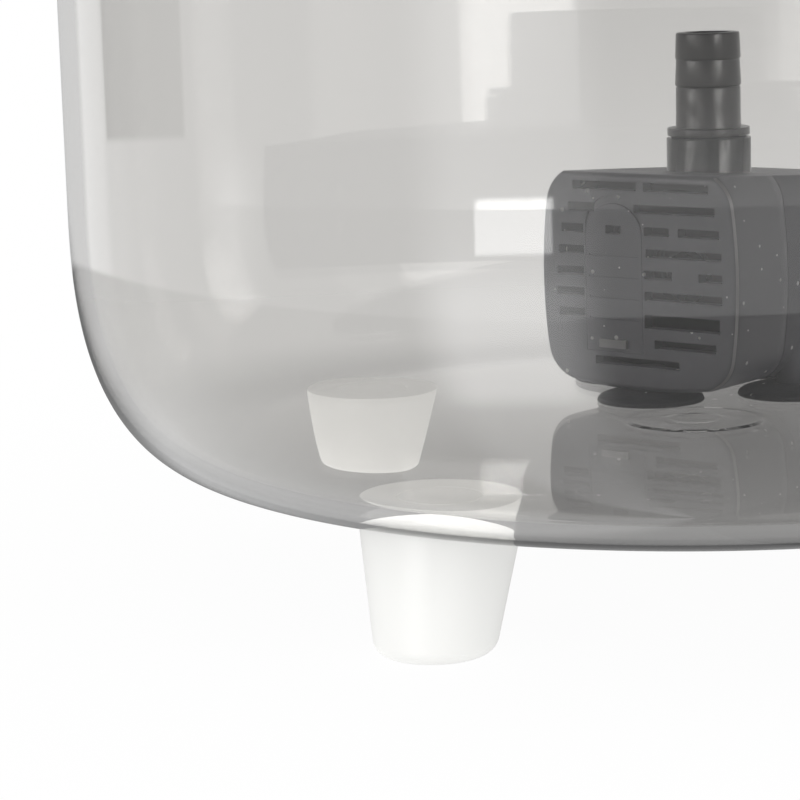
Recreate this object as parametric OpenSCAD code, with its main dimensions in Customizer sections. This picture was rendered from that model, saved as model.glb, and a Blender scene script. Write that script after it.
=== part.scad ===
// Pet water fountain: a clear round tank on four feet, a small submersible pump held by
// suction cups, and a drinking tray with a gooseneck spout. Millimetres, +Z up, the origin
// on the ground under the tank's axis, the drinking side at -Y.

/* [Tank] */
// Outer radius of the tank's wall
tank_r = 95; // [88:1:110]
// Height of the tank from its floor's underside to its rim
tank_h = 105; // [98:1:125]
// Thickness of the wall
tank_wall = 2.5; // [1.8:0.1:3.5]
// Thickness of the floor
tank_floor = 3; // [2.2:0.1:4]
// How far the bottom bend reaches in from the wall
bend_across = 26; // [22:0.5:30]
// How far the bottom bend reaches up the wall
bend_up = 41; // [34:0.5:48]
// Fullness of the bottom bend, where 2 is an ellipse
bend_power = 2.6; // [2:0.1:3]
// Radius of the raised disc in the middle of the floor
disc_r = 10.5; // [8:0.5:14]
// Height of that disc, which the pump's front cup stands on
disc_h = 0.3; // [0.2:0.05:0.4]

/* [Feet] */
// Height of the feet
foot_h = 18; // [14:0.5:24]
// Radius of a foot at its top
foot_top_r = 11.3; // [10:0.1:13]
// Radius of a foot at the ground
foot_base_r = 8.4; // [7:0.1:10]
// How far the middles of the feet stand inside the tank's wall
foot_inset = 30; // [27:0.1:35]
// Turn of the feet round the tank, against the drinking side
foot_turn = 27.5; // [0:0.1:45]
// Outward lean of the feet, in degrees
foot_lean = 6.6; // [0:0.1:8]
// Rounding of a foot's lower edge
foot_round = 1.8; // [0.5:0.1:3]
// Radius of the hollow pegs under the tank that the feet are pushed on
peg_r = 6.4; // [5:0.1:7.5]
// Length of the pegs
peg_h = 6; // [4:0.5:9]

/* [Pump body] */
// Distance of the pump's outlet behind the tank's axis
outlet_back = 32.5; // [28:0.5:34]
// Turn of the pump's face away from the drinking side, in degrees
pump_turn = 28.7; // [15:0.1:35]
// Width of the pump
pump_w = 38; // [36:0.2:39]
// Height of the pump's section, before its top is cut flat
pump_h = 37.4; // [36.4:0.1:38.2]
// Depth of that cut at the pump's face
top_cut = 1.5; // [1.2:0.1:1.8]
// Fall of the pump's top towards its rear, in degrees
top_fall = 4.1; // [2:0.1:4.5]
// Height of the pump's underside above the tank's floor
pump_lift = 2.15; // [1.8:0.05:3]
// Distance of the front face before the outlet
pump_front = 21.3; // [20.5:0.1:23]
// Radius of the pump's corners
corner_r = 6.5; // [5.5:0.1:7]
// Rise of the pump's bulging sides between the corners, about
side_bulge = 0.8; // [0.6:0.05:1.2]
// Thickness of the pump's walls
pump_skin = 1.6; // [1.3:0.1:1.8]
// Thickness of the intake cover's face
face_t = 2.2; // [2:0.1:2.6]
// Step round the edge of that face
face_edge = 0.5; // [0.3:0.1:0.8]
// Distance of the cover's seam before the outlet
seam_front = 6.3; // [6:0.1:7]
// Length of the spigot that the cover is pushed on
spigot = 3; // [2:0.5:3.5]

/* [Intake grille] */
// Distance between the rows of slots
row_pitch = 3.52; // [3.4:0.02:3.6]
// Height of a slot
slot_h = 1.4; // [1:0.1:1.6]
// Height of the one tall slot
tall_slot_h = 2.3; // [1.6:0.1:2.6]
// Width of the shutter plate
shutter_w = 10.8; // [10:0.1:11]
// Place of the shutter's middle, left of the face's middle
shutter_left = 4.45; // [4.3:0.05:4.6]
// Thickness of the shutter plate
shutter_t = 0.8; // [0.6:0.1:1]
// Travel of the shutter
shutter_travel = 1.4; // [1:0.1:1.4]

/* [Outlet and nozzle] */
// Outer radius of the outlet socket
socket_r = 6.9; // [6.7:0.1:7.2]
// Height of the socket above the pump's top
socket_h = 5.65; // [5:0.05:7]
// Radius of the nozzle's bore
nozzle_bore_r = 3.6; // [3:0.1:3.8]
// Radius of the nozzle's barbs at their widest
barb_r = 5.4; // [5.2:0.1:5.6]
// Height of the two barbs above the plain neck, each
barb_h = 4.35; // [3.5:0.05:5]
// Height of the nozzle's plain neck above its flange
neck_h = 6.7; // [5:0.1:8]
// Thickness of the nozzle's flange
flange_t = 1.3; // [1:0.1:1.6]

/* [Motor] */
// Radius of the impeller chamber
chamber_r = 12.4; // [11.5:0.1:12.8]
// Number of blades
blades = 6; // [4:1:8]
// Radius of the impeller
impeller_r = 10.6; // [9:0.1:11]
// Radius of the rotor's magnet
magnet_r = 6; // [5:0.1:6.2]
// Length of the magnet
magnet_len = 10; // [8:0.5:10]
// Radius of the shaft
shaft_r = 1; // [0.8:0.1:1.2]
// Radius of the shaft's bushes
bush_r = 2.1; // [1.9:0.1:2.3]

/* [Suction cups] */
// Radius of a cup
cup_r = 8.7; // [7:0.1:9]
// Distance of the cups from the middle of their cross
cup_reach = 16.4; // [16:0.1:16.6]
// Radius of a cup's stem
cup_stem_r = 1.6; // [1.4:0.1:1.8]

/* [Tray] */
// Depth of the drinking dish below the tray's crown
dish_depth = 16; // [12:0.5:18]
// Height of the tray's crown above the tank's rim
crown_h = 5; // [4:0.5:8]
// Thickness of the tray's walls
tray_wall = 2.2; // [1.8:0.1:3]
// Gap between the tray's plug and the tank's wall
tray_gap = 0.6; // [0.4:0.1:1]
// Height of the spout's tower above the dish
tower_h = 26; // [22:0.5:32]
// Wall of the tower
tower_wall = 3; // [2.4:0.1:4]
// Width of the notch for the pump's cable
cable_notch = 7; // [6:0.5:10]

/* [Filter] */
// Radius of the filter basket
basket_r = 28; // [24:0.5:29]
// Depth of the filter basket
basket_h = 13; // [10:0.5:14]
// Distance of the filter before the tank's axis
filter_front = 34; // [32:0.5:38]
// Thickness of the filter pad
pad_h = 8; // [5:0.5:9]

/* [Spout and riser] */
// Outer radius of the riser pipe
riser_r = 7; // [6.6:0.1:7.4]
// Length of the riser pipe
riser_len = 58.5; // [56:0.5:62]
// Free height between the nozzle's tip and the raised riser
riser_raise = 11.5; // [10:0.5:13]
// Outer radius of the spout's upright tube
spout_r = 9.4; // [9.2:0.1:10]
// Radius of the gooseneck's bend
neck_bend_r = 15; // [14:0.5:18]
// Outer radius of the gooseneck
neck_r = 7.5; // [7:0.1:8]
// Wall of the gooseneck
neck_wall = 1.8; // [1.4:0.1:2.2]

/* [Fits] */
// Radial clearance of parts that turn or slide in each other
run_gap = 0.1; // [0.05:0.01:0.1]
// Clearance of the shaft in the spinning rotor
shaft_gap = 0.05; // [0.03:0.01:0.08]
// Clearance of parts that are pushed together and stay
seat_gap = 0.05; // [0.02:0.01:0.08]
// Clearance round loose covers, the shutter and the filter
loose_gap = 0.2; // [0.15:0.05:0.3]

/* [Hidden] */
$fn = 96;

// heights, from the ground
floor_z = foot_h + tank_floor;
rim_z = foot_h + tank_h;
crown_z = rim_z + crown_h;
dish_z = crown_z - dish_depth;

// tank
flat_r = tank_r - bend_across;
foot_ring_r = tank_r - foot_inset;
disc_groove_r = 0.42 * disc_r;
peg_wall = 2;

// pump, in its own frame: the outlet's axis at x = y = 0, its face at -y, z from the tank's floor
pump_mid = pump_lift + pump_h / 2;
pump_top = pump_lift + pump_h;
outlet_top = pump_top - top_cut - pump_front * tan(top_fall);
corner_in = corner_r + side_bulge;
corner_x = pump_w / 2 - corner_in;
corner_z = pump_h / 2 - corner_in;
side_arc_r = (pow(corner_in, 2) + pow(corner_z, 2) - pow(corner_r, 2)) / (2 * side_bulge);
top_arc_r = (pow(corner_in, 2) + pow(corner_x, 2) - pow(corner_r, 2)) / (2 * side_bulge);
wall_t = 2;
chamber_back = seam_front - 1.4;
well_r = magnet_r + 0.5;
well_front = chamber_back;
magnet_front = well_front + 1;
well_back = magnet_front + magnet_len + 0.7;
bush_len = 2.4;
well_end = well_back + bush_len + 0.6;
well_skin = 1.3;
motor_front = chamber_back + wall_t;
leg_in = well_r + well_skin + 0.3;
leg_t = 4;
core_half_h = 6.5;
yoke_front = well_end + 2.1;
yoke_t = 3.2;
coil_t = 1.6;
motor_back = yoke_front + yoke_t + coil_t + 0.2;
pump_rear = motor_back + wall_t;
gland_drop = 11.5;
gland_r = 3;
cable_r = 1.7;

// intake slots as [row, from, to], and how far each row lies below the top row, in pitches
top_row = pump_top - top_cut - 2.1;
row_drop = [0, 1, 2, 3, 4, 5, 6, 7.25, 8.2];
grille = [
    [0, -12.3, 0.1], [0, 1.5, 13.7],
    [1, -13.2, -10.3], [1, 1.4, 14.9],
    [2, -14.7, -10.3], [2, 1.5, 6.3], [2, 8, 15.7],
    [3, -15.2, -10.3], [3, 1.8, 16.1],
    [4, -15.7, -10.3], [4, 1.4, 6.8], [4, 11.8, 16.2],
    [5, -15.8, -10.3], [5, 1.5, 16.2],
    [6, -15.4, -10.3],
    [7, 3.3, 15],
    [8, -8.3, 8]];
tall_slot = [6.2, 1.4, 15.7];
shutter_top = top_row - 2.95;
shutter_low = top_row - 7 * row_pitch - 2.6;
shutter_z = (shutter_top + shutter_low) / 2;
peep_z = top_row - 2 * row_pitch;
peep_w = 3;
channel_t = shutter_t + 0.1;
key_w = 3;
key_h = 6;
key_head = 1.2;

// outlet
socket_top = outlet_top + socket_h;
socket_bore_r = barb_r - 0.2;
seal_t = 0.45;
flange_gap = 0.4;
flange_z = socket_top + flange_gap;
neck_z = flange_z + flange_t;
tip_z = neck_z + neck_h + 2 * barb_h;
flange_r = socket_r - 0.15;

// suction cups
cross_y = -1.4;
cup_low = disc_h;
cup_stem_h = 2.7;
cup_boss_r = cup_stem_r + 0.8;
cup_boss_h = cup_stem_h + 1.2;

// riser, spout and tower
riser_bore_r = barb_r + 0.15;
riser_z = floor_z + tip_z + riser_raise;
riser_top_z = riser_z + riser_len;
spout_bore_r = riser_r + run_gap;
spout_seat_z = dish_z + 4;
spout_top_z = riser_top_z + 2;
tower_bore_r = spout_r + run_gap;
tower_r = tower_bore_r + tower_wall;
tower_z = dish_z + tower_h;
collar_t = 2.5;
spout_gap = 0.8;
neck_bore_r = neck_r - neck_wall;
tip_drop = 6;

// tray
plug_r = tank_r - tank_wall - tray_gap;
skirt_in = tank_r + tray_gap;
skirt_out = skirt_in + 1.6;
crown_round = 2;
skirt_h = 3;
plug_h = 5;
dish_fillet = 11;
dish_r = plug_r - tray_wall - 4;

// filter
flange_over = 2.3;
basket_wall = 1.2;
basket_lip = 1.2;
grate_t = 1.8;
grate_skirt = 3;
well_hole_r = basket_r + loose_gap + 0.1;
ledge_depth = basket_lip;
basket_low_z = dish_z - ledge_depth - basket_h;

// the bottom bend's outer curve, from the flat floor at t = 0 to the wall at t = 90
function bend_at(t) = [flat_r + bend_across * pow(sin(t), 2 / bend_power),
    foot_h + bend_up * (1 - pow(cos(t), 2 / bend_power))];

// the direction that points straight out of that curve
function bend_out(t) = let (
    dx = bend_across * pow(sin(t), 2 / bend_power - 1) * cos(t),
    dz = bend_up * pow(cos(t), 2 / bend_power - 1) * sin(t))
    [dz, -dx] / norm([dx, dz]);

// the inner curve, a wall's thickness inside, growing to the floor's
function bend_inside(t) = let (out = bend_out(t))
    bend_at(t) - (tank_wall - (tank_floor - tank_wall) * out[1]) * out;

// a quarter arc of a rounding, from angle a to angle b
function arc(cx, cy, r, a, b, n) = [for (i = [0:n])
    let (t = a + (b - a) * i / n) [cx + r * cos(t), cy + r * sin(t)]];

module ring(r_out, r_in, h) {
    difference() {
        cylinder(r = r_out, h = h);
        translate([0, 0, -1]) cylinder(r = r_in, h = h + 2);
    }
}

module along_y(y0, y1) {
    translate([0, y1, 0]) rotate([90, 0, 0]) linear_extrude(height = y1 - y0) children();
}

module at_foot(i) {
    rotate([0, 0, -foot_turn - 90 * i]) translate([0, -foot_ring_r, 0]) children();
}

module at_pump() {
    translate([0, outlet_back, floor_z]) rotate([0, 0, -pump_turn]) children();
}

module at_tower() {
    translate([0, outlet_back, 0]) children();
}

module at_filter() {
    translate([0, -filter_front, 0]) children();
}

// ---- tank ----

module tank_profile() {
    in_r = tank_r - tank_wall;
    step = 5;
    rim_round = tank_wall / 3;
    polygon(concat(
        [[0, foot_h]],
        [for (t = [0:step:90]) bend_at(t)],
        arc(tank_r - rim_round, rim_z - rim_round, rim_round, 0, 90, 4),
        arc(in_r + rim_round, rim_z - rim_round, rim_round, 90, 180, 4),
        [[in_r, foot_h + bend_up]],
        [for (t = [90 - step:-step:step]) bend_inside(t)],
        [[flat_r, floor_z], [0, floor_z]]));
}

module tank() {
    color([0.72, 0.74, 0.76, 0.35])
    difference() {
        union() {
            rotate_extrude() tank_profile();
            for (i = [0:3]) at_foot(i) {
                // flat land that the foot's top meets, and the hollow peg inside the foot
                translate([0, 0, foot_h]) cylinder(r = foot_top_r, h = tank_floor);
                translate([0, 0, foot_h - peg_h]) cylinder(r = peg_r, h = peg_h + 1);
            }
            translate([0, 0, floor_z - 1]) cylinder(r = disc_r, h = disc_h + 1);
        }
        for (i = [0:3]) at_foot(i)
            translate([0, 0, foot_h - peg_h + peg_wall]) cylinder(r = peg_r - peg_wall, h = peg_h + tank_floor);
        translate([0, 0, floor_z + disc_h - 0.4]) ring(disc_groove_r, disc_groove_r - 0.6, 2);
    }
}

// ---- feet ----

module foot(i) {
    slope = (foot_top_r - foot_base_r) / foot_h;
    over = 2;
    under = 1;
    low_r = foot_base_r - slope * under;
    color("white")
    at_foot(i) difference() {
        intersection() {
            translate([0, 0, foot_h]) rotate([-foot_lean, 0, 0]) rotate_extrude() polygon(concat(
                [[0, -foot_h - under]],
                arc(low_r - foot_round, -foot_h - under + foot_round, foot_round, -90, 0, 6),
                [[foot_top_r + slope * over, over], [0, over]]));
            cylinder(r = 2 * foot_top_r, h = foot_h);
        }
        translate([0, 0, foot_h - peg_h - 0.2]) cylinder(r = peg_r + seat_gap, h = peg_h + 1);
    }
}

// ---- pump ----

// the pump's section: four long arcs for the sides, run into four short ones for the corners
module pump_outline(inset = 0) {
    half_x = corner_x * (top_arc_r - inset) / (top_arc_r - corner_r);
    half_z = corner_z * (side_arc_r - inset) / (side_arc_r - corner_r);
    fine = 480;
    translate([0, pump_mid]) intersection() {
        translate([pump_w / 2 - side_arc_r, 0]) circle(side_arc_r - inset, $fn = fine);
        translate([side_arc_r - pump_w / 2, 0]) circle(side_arc_r - inset, $fn = fine);
        translate([0, pump_h / 2 - top_arc_r]) circle(top_arc_r - inset, $fn = fine);
        translate([0, top_arc_r - pump_h / 2]) circle(top_arc_r - inset, $fn = fine);
        union() {
            square([2 * half_x, pump_h], center = true);
            square([pump_w, 2 * half_z], center = true);
            for (i = [-1, 1], k = [-1, 1])
                translate([i * corner_x, k * corner_z]) circle(corner_r - inset);
        }
    }
}

// a length of the pump's body, its top cut flat and falling towards the rear
module pump_body(y0, y1, inset = 0) {
    difference() {
        along_y(y0, y1) pump_outline(inset);
        translate([0, -pump_front, pump_top - top_cut - inset]) rotate([-top_fall, 0, 0])
            translate([-pump_w, -pump_h, 0]) cube([2 * pump_w, 3 * pump_h, pump_h]);
    }
}

module shutter_shape(grow = 0, rise = 0) {
    r = shutter_w / 2 + grow;
    mid = shutter_top - shutter_w / 2;
    translate([-shutter_left, 0]) {
        translate([-r, shutter_low - grow]) square([2 * r, mid + rise - shutter_low + grow]);
        translate([0, mid + rise]) circle(r);
    }
}

module cup_boss(x, y, top) {
    translate([x, y, pump_lift]) cylinder(r = cup_boss_r, h = top - pump_lift);
}

module cup_hole(x, y) {
    translate([x, y, pump_lift - 1]) cylinder(r = cup_stem_r + seat_gap, h = cup_stem_h + 1.2);
}

module intake_cover() {
    color([0.4, 0.39, 0.41])
    at_pump() difference() {
        union() {
            difference() {
                union() {
                    pump_body(-pump_front, -seam_front, face_edge);
                    pump_body(-pump_front + face_edge, -seam_front);
                }
                pump_body(-pump_front + face_t, 0, pump_skin);
            }
            intersection() {
                cup_boss(0, cross_y - cup_reach, pump_lift + cup_boss_h);
                pump_body(-pump_front + face_edge, -seam_front, 0.2);
            }
        }
        for (s = grille)
            translate([s[1], -pump_front - 1, top_row - row_drop[s[0]] * row_pitch - slot_h / 2])
                cube([s[2] - s[1], face_t + 2, slot_h]);
        translate([tall_slot[1], -pump_front - 1, top_row - tall_slot[0] * row_pitch - tall_slot_h / 2])
            cube([tall_slot[2] - tall_slot[1], face_t + 2, tall_slot_h]);
        // channel that the shutter slides in, its key's slot and the small window behind it
        along_y(-pump_front - 1, -pump_front + channel_t) shutter_shape(loose_gap, shutter_travel);
        translate([-shutter_left - key_w / 2 - loose_gap, -pump_front, shutter_z - key_h / 2 - loose_gap])
            cube([key_w + 2 * loose_gap, face_t + 1, key_h + shutter_travel + 2 * loose_gap]);
        translate([-shutter_left - peep_w / 2, -pump_front, peep_z - slot_h / 2])
            cube([peep_w, face_t + 1, slot_h]);
        cup_hole(0, cross_y - cup_reach);
        // half-round notch at the seam that clears the outlet's socket
        translate([0, 0, outlet_top - 4]) cylinder(r = socket_r + loose_gap, h = 8);
    }
}

module flow_slider() {
    grip_w = 5.2;
    grip_h = 1.4;
    color([0.42, 0.41, 0.43])
    at_pump() difference() {
        union() {
            along_y(-pump_front, -pump_front + shutter_t) shutter_shape();
            translate([-shutter_left - grip_w / 2, -pump_front - 0.7, shutter_low + 0.6])
                cube([grip_w, 1.2, grip_h]);
            translate([-shutter_left - key_w / 2, -pump_front + 0.2, shutter_z - key_h / 2])
                cube([key_w, face_t + key_head, key_h]);
            translate([-shutter_left - key_w / 2 - 1, -pump_front + face_t + 0.15, shutter_z - key_h / 2])
                cube([key_w + 2, key_head, key_h]);
        }
        translate([-shutter_left - peep_w / 2, -pump_front - 1, peep_z - slot_h / 2])
            cube([peep_w, 2 + shutter_t, slot_h]);
        for (i = [3:6])
            translate([-shutter_left - shutter_w / 2 + 0.6, -pump_front - 1, top_row - i * row_pitch - 0.8])
                cube([shutter_w - 1.2, 1.2, 0.3]);
    }
}

module pump_housing() {
    side_cup = [cup_reach, cross_y];
    color([0.38, 0.37, 0.38])
    at_pump() difference() {
        union() {
            difference() {
                union() {
                    pump_body(-seam_front, motor_back);
                    pump_body(-seam_front - spigot, -seam_front, pump_skin + loose_gap);
                }
                pump_body(motor_front, motor_back + 1, pump_skin);
            }
            // rotor well with its blind end
            along_y(well_front, well_back + 1.3) translate([0, pump_mid]) circle(well_r + well_skin);
            along_y(well_back, well_end) translate([0, pump_mid]) circle(bush_r + 1.4);
            // outlet socket, and the bosses of the three cups that the housing carries
            translate([0, 0, outlet_top - 3]) cylinder(r = socket_r, h = socket_h + 3);
            for (s = [-1, 1]) cup_boss(s * side_cup[0], side_cup[1], pump_mid - 8);
            cup_boss(0, cross_y + cup_reach, pump_lift + cup_boss_h);
        }
        along_y(-seam_front - wall_t - 0.1, chamber_back) translate([0, pump_mid]) circle(chamber_r);
        along_y(-seam_front - spigot - 1, -seam_front) translate([0, pump_mid]) circle(chamber_r + 1.2);
        along_y(well_front - 1, well_back) translate([0, pump_mid]) circle(well_r);
        along_y(well_back - 1, well_back + bush_len) translate([0, pump_mid]) circle(bush_r + seat_gap);
        translate([0, 0, pump_mid]) cylinder(r = nozzle_bore_r, h = pump_h);
        translate([0, 0, outlet_top - 1.6]) cylinder(r = socket_bore_r + seat_gap, h = socket_h + 3);
        translate([0, 0, socket_top - seal_t]) cylinder(r = socket_bore_r + 2 * seal_t + 0.1, h = 2);
        for (s = [-1, 1]) cup_hole(s * side_cup[0], side_cup[1]);
        cup_hole(0, cross_y + cup_reach);
    }
}

module volute_cover() {
    eye_r = 5.6;
    hub_r = bush_r + 0.9;
    spoke_w = 1.2;
    color([0.3, 0.3, 0.31])
    at_pump() difference() {
        union() {
            along_y(-seam_front - wall_t, -seam_front) translate([0, pump_mid]) {
                difference() {
                    circle(chamber_r + 1.2 - seat_gap);
                    circle(eye_r);
                }
                for (a = [90, 210, 330])
                    rotate(a) translate([0, -spoke_w / 2]) square([eye_r + 1, spoke_w]);
            }
            along_y(-seam_front - wall_t, -seam_front + 1) translate([0, pump_mid]) circle(hub_r);
        }
        along_y(-seam_front - wall_t - 1, -seam_front + 2) translate([0, pump_mid])
            circle(bush_r + seat_gap);
    }
}

module bush(y0) {
    color([0.85, 0.85, 0.8])
    at_pump() along_y(y0, y0 + bush_len) translate([0, pump_mid]) difference() {
        circle(bush_r);
        circle(shaft_r + 0.02);
    }
}

module rotor_shaft() {
    color([0.9, 0.9, 0.88])
    at_pump() along_y(-seam_front - wall_t, well_back + bush_len) translate([0, pump_mid]) circle(shaft_r);
}

module impeller() {
    hub_r = shaft_r + 2.4;
    sleeve_r = shaft_r + 1.3;
    front = -seam_front + 2.1;
    color([0.92, 0.92, 0.9])
    at_pump() difference() {
        union() {
            along_y(front, chamber_back - 0.9) translate([0, pump_mid]) circle(hub_r);
            along_y(chamber_back - 1.7, chamber_back - 0.9) translate([0, pump_mid]) circle(impeller_r * 0.66);
            along_y(chamber_back - 1.2, magnet_front + magnet_len) translate([0, pump_mid]) circle(sleeve_r);
            for (i = [0:blades - 1])
                translate([0, front + 0.4, pump_mid]) rotate([0, i * 360 / blades, 0])
                    translate([hub_r - 0.8, 0, -0.5])
                        cube([impeller_r - hub_r + 0.8, chamber_back - 1.3 - front, 1]);
        }
        along_y(front - 1, magnet_front + magnet_len + 1) translate([0, pump_mid]) circle(shaft_r + shaft_gap);
    }
}

module rotor_magnet() {
    sleeve_r = shaft_r + 1.3;
    color([0.2, 0.2, 0.22])
    at_pump() along_y(magnet_front, magnet_front + magnet_len) translate([0, pump_mid]) difference() {
        circle(magnet_r);
        circle(sleeve_r + 0.02);
    }
}

module stator_core() {
    leg_front = motor_front + 0.6;
    reach = leg_in + leg_t;
    color([0.55, 0.56, 0.58])
    at_pump() difference() {
        union() {
            for (s = [0, 1]) mirror([s, 0, 0])
                translate([leg_in - 2.4, leg_front, pump_mid - core_half_h])
                    cube([leg_t + 2.4, well_back - leg_front, 2 * core_half_h]);
            for (s = [0, 1]) mirror([s, 0, 0])
                translate([leg_in, leg_front, pump_mid - core_half_h])
                    cube([leg_t, yoke_front + yoke_t - leg_front, 2 * core_half_h]);
            translate([-reach, yoke_front, pump_mid - core_half_h])
                cube([2 * reach, yoke_t, 2 * core_half_h]);
        }
        along_y(0, well_back + 1) translate([0, pump_mid]) circle(well_r + well_skin + 0.2);
    }
}

module coil_shape(grow) {
    translate([yoke_front - grow, pump_mid - core_half_h - grow])
        square([yoke_t + 2 * grow, 2 * core_half_h + 2 * grow]);
}

module along_x(x0, x1) {
    translate([x0, 0, 0]) rotate([90, 0, 90]) linear_extrude(height = x1 - x0) children();
}

module coil_bobbin() {
    half = leg_in - 0.2;
    color([0.9, 0.88, 0.8])
    at_pump() difference() {
        union() {
            along_x(-half, half) coil_shape(0.6);
            for (s = [0, 1]) mirror([s, 0, 0]) along_x(half - 0.8, half) coil_shape(coil_t);
        }
        along_x(-half - 1, half + 1) coil_shape(0.1);
    }
}

module stator_coil() {
    half = leg_in - 1.1;
    color([0.72, 0.42, 0.22])
    at_pump() along_x(-half, half) difference() {
        coil_shape(coil_t - 0.2);
        coil_shape(0.65);
    }
}

module rear_cover() {
    color([0.38, 0.37, 0.38])
    at_pump() difference() {
        union() {
            pump_body(motor_back, pump_rear);
            difference() {
                pump_body(motor_back - 1, motor_back, pump_skin + 0.1);
                pump_body(motor_back - 2, motor_back + 1, pump_skin + 1);
            }
        }
        along_y(motor_back - 2, pump_rear + 1) translate([0, pump_mid - gland_drop]) circle(gland_r + seat_gap);
    }
}

module cable_gland() {
    tail = 6;
    color([0.12, 0.12, 0.12])
    at_pump() translate([0, motor_back, pump_mid - gland_drop]) rotate([-90, 0, 0]) difference() {
        union() {
            cylinder(r = gland_r, h = wall_t);
            translate([0, 0, wall_t]) cylinder(r = gland_r + 1.3, h = 1.3);
            translate([0, 0, wall_t + 1.3]) cylinder(r1 = gland_r, r2 = cable_r + 0.8, h = tail);
        }
        translate([0, 0, 1]) cylinder(r = cable_r, h = tail + wall_t + 1);
    }
}

module nozzle_seal() {
    color([0.1, 0.1, 0.1])
    at_pump() translate([0, 0, socket_top]) rotate_extrude()
        translate([socket_bore_r + seal_t + 0.02, 0]) circle(seal_t - 0.05);
}

module nozzle() {
    spigot_h = socket_h + 1.2;
    notch = 0.18;
    top_r = barb_r - 0.25;
    color([0.12, 0.11, 0.1])
    at_pump() rotate_extrude() polygon(concat(
        [[nozzle_bore_r, flange_z - spigot_h], [socket_bore_r - 0.3, flange_z - spigot_h],
        [socket_bore_r, flange_z - spigot_h + 0.6], [socket_bore_r, flange_z]],
        arc(flange_r - 0.2, flange_z + 0.2, 0.2, -90, 0, 3),
        arc(flange_r - 0.2, neck_z - 0.2, 0.2, 0, 90, 3),
        [[barb_r - 0.05, neck_z], [barb_r - 0.12, neck_z + neck_h - 0.3], [barb_r - notch - 0.1, neck_z + neck_h],
        [barb_r, neck_z + neck_h + 0.25], [top_r + 0.05, neck_z + neck_h + barb_h],
        [barb_r - 0.06, neck_z + neck_h + barb_h + 0.25], [top_r + 0.03, tip_z - 0.3], [top_r - 0.3, tip_z],
        [nozzle_bore_r, tip_z]]));
}

// ---- suction cups ----

module suction_cup(x, y) {
    lip = 0.45;
    dome_top = pump_lift - 0.02;
    dome_steps = 8;
    color([0.08, 0.08, 0.08])
    at_pump() translate([x, y, 0]) rotate_extrude() polygon(concat(
        [[cup_r - 0.5, cup_low], [cup_r, cup_low + lip / 2], [cup_r - 0.05, cup_low + lip]],
        [for (i = [1:dome_steps]) let (t = 90 * i / dome_steps, rise = dome_top - cup_low - lip)
            [cup_stem_r + 1.2 + (cup_r - cup_stem_r - 1.3) * cos(t), cup_low + lip + rise * sin(t)]],
        [[cup_stem_r, dome_top], [cup_stem_r, dome_top + cup_stem_h - 0.5],
        [cup_stem_r - 0.5, dome_top + cup_stem_h], [0, dome_top + cup_stem_h], [0, dome_top * 0.6],
        [cup_r * 0.5, dome_top * 0.5]]));
}

// ---- drinking tray ----

module tray_profile() {
    seat_z = rim_z;
    low_z = dish_z - tray_wall;
    in_top = plug_r - tray_wall - 0.6;
    polygon(concat(
        [[0, low_z]],
        arc(dish_r - dish_fillet + tray_wall * 0.3, low_z + dish_fillet, dish_fillet, -90, -20, 6),
        [[plug_r, seat_z - plug_h], [plug_r, seat_z], [skirt_in, seat_z], [skirt_in, seat_z - skirt_h],
        [skirt_out, seat_z - skirt_h]],
        arc(skirt_out - crown_round, crown_z - crown_round, crown_round, 0, 90, 5),
        arc(in_top + crown_round, crown_z - crown_round, crown_round, 90, 160, 4),
        [for (i = [6:-1:0]) arc(dish_r - dish_fillet - tray_wall * 0.7, dish_z + dish_fillet, dish_fillet,
            -90, -20, 6)[i]],
        [[0, dish_z]]));
}

module lid_tray() {
    collar_r = well_hole_r + flange_over + 2.4;
    collar_h = 7;
    color([0.96, 0.96, 0.95])
    difference() {
        union() {
            rotate_extrude() tray_profile();
            at_tower() {
                translate([0, 0, dish_z - 6]) cylinder(r = tower_r, h = tower_z - dish_z + 6);
                translate([0, 0, dish_z]) cylinder(r1 = tower_r + 4, r2 = tower_r, h = 5);
            }
            at_filter() translate([0, 0, dish_z - collar_h]) cylinder(r = collar_r, h = collar_h - 0.5);
        }
        at_tower() {
            translate([0, 0, spout_seat_z]) cylinder(r = tower_bore_r, h = tower_h + 10);
            translate([0, 0, dish_z - 8]) cylinder(r = spout_bore_r + 0.2, h = tower_h);
        }
        at_filter() {
            translate([0, 0, dish_z - ledge_depth]) cylinder(r = basket_r + flange_over + loose_gap, h = 10);
            translate([0, 0, dish_z - collar_h - 1]) cylinder(r = well_hole_r, h = collar_h + 2);
        }
        // way for the pump's cable, up behind the dish's wall and out over the tank's rim
        translate([-cable_notch / 2, plug_r - tray_wall - 2, rim_z - plug_h - 2])
            cube([cable_notch, tray_wall + 12, crown_h + plug_h + 4]);
    }
}

// ---- filter cartridge ----

module filter_basket() {
    slot_w = 2;
    color([0.93, 0.93, 0.92])
    at_filter() difference() {
        union() {
            translate([0, 0, basket_low_z]) cylinder(r = basket_r, h = basket_h);
            translate([0, 0, dish_z - basket_lip]) cylinder(r = basket_r + flange_over, h = basket_lip);
        }
        translate([0, 0, basket_low_z + basket_wall])
            cylinder(r = basket_r - basket_wall, h = basket_h + basket_lip);
        for (i = [-5:5]) {
            half = sqrt(pow(basket_r - 4, 2) - pow(i * 4, 2));
            translate([-half, i * 4 - slot_w / 2, basket_low_z - 1]) cube([2 * half, slot_w, basket_wall + 2]);
        }
    }
}

module filter_pad() {
    color([0.93, 0.93, 0.9])
    at_filter() translate([0, 0, basket_low_z + basket_wall])
        cylinder(r = basket_r - basket_wall - 0.3, h = pad_h);
}

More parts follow.
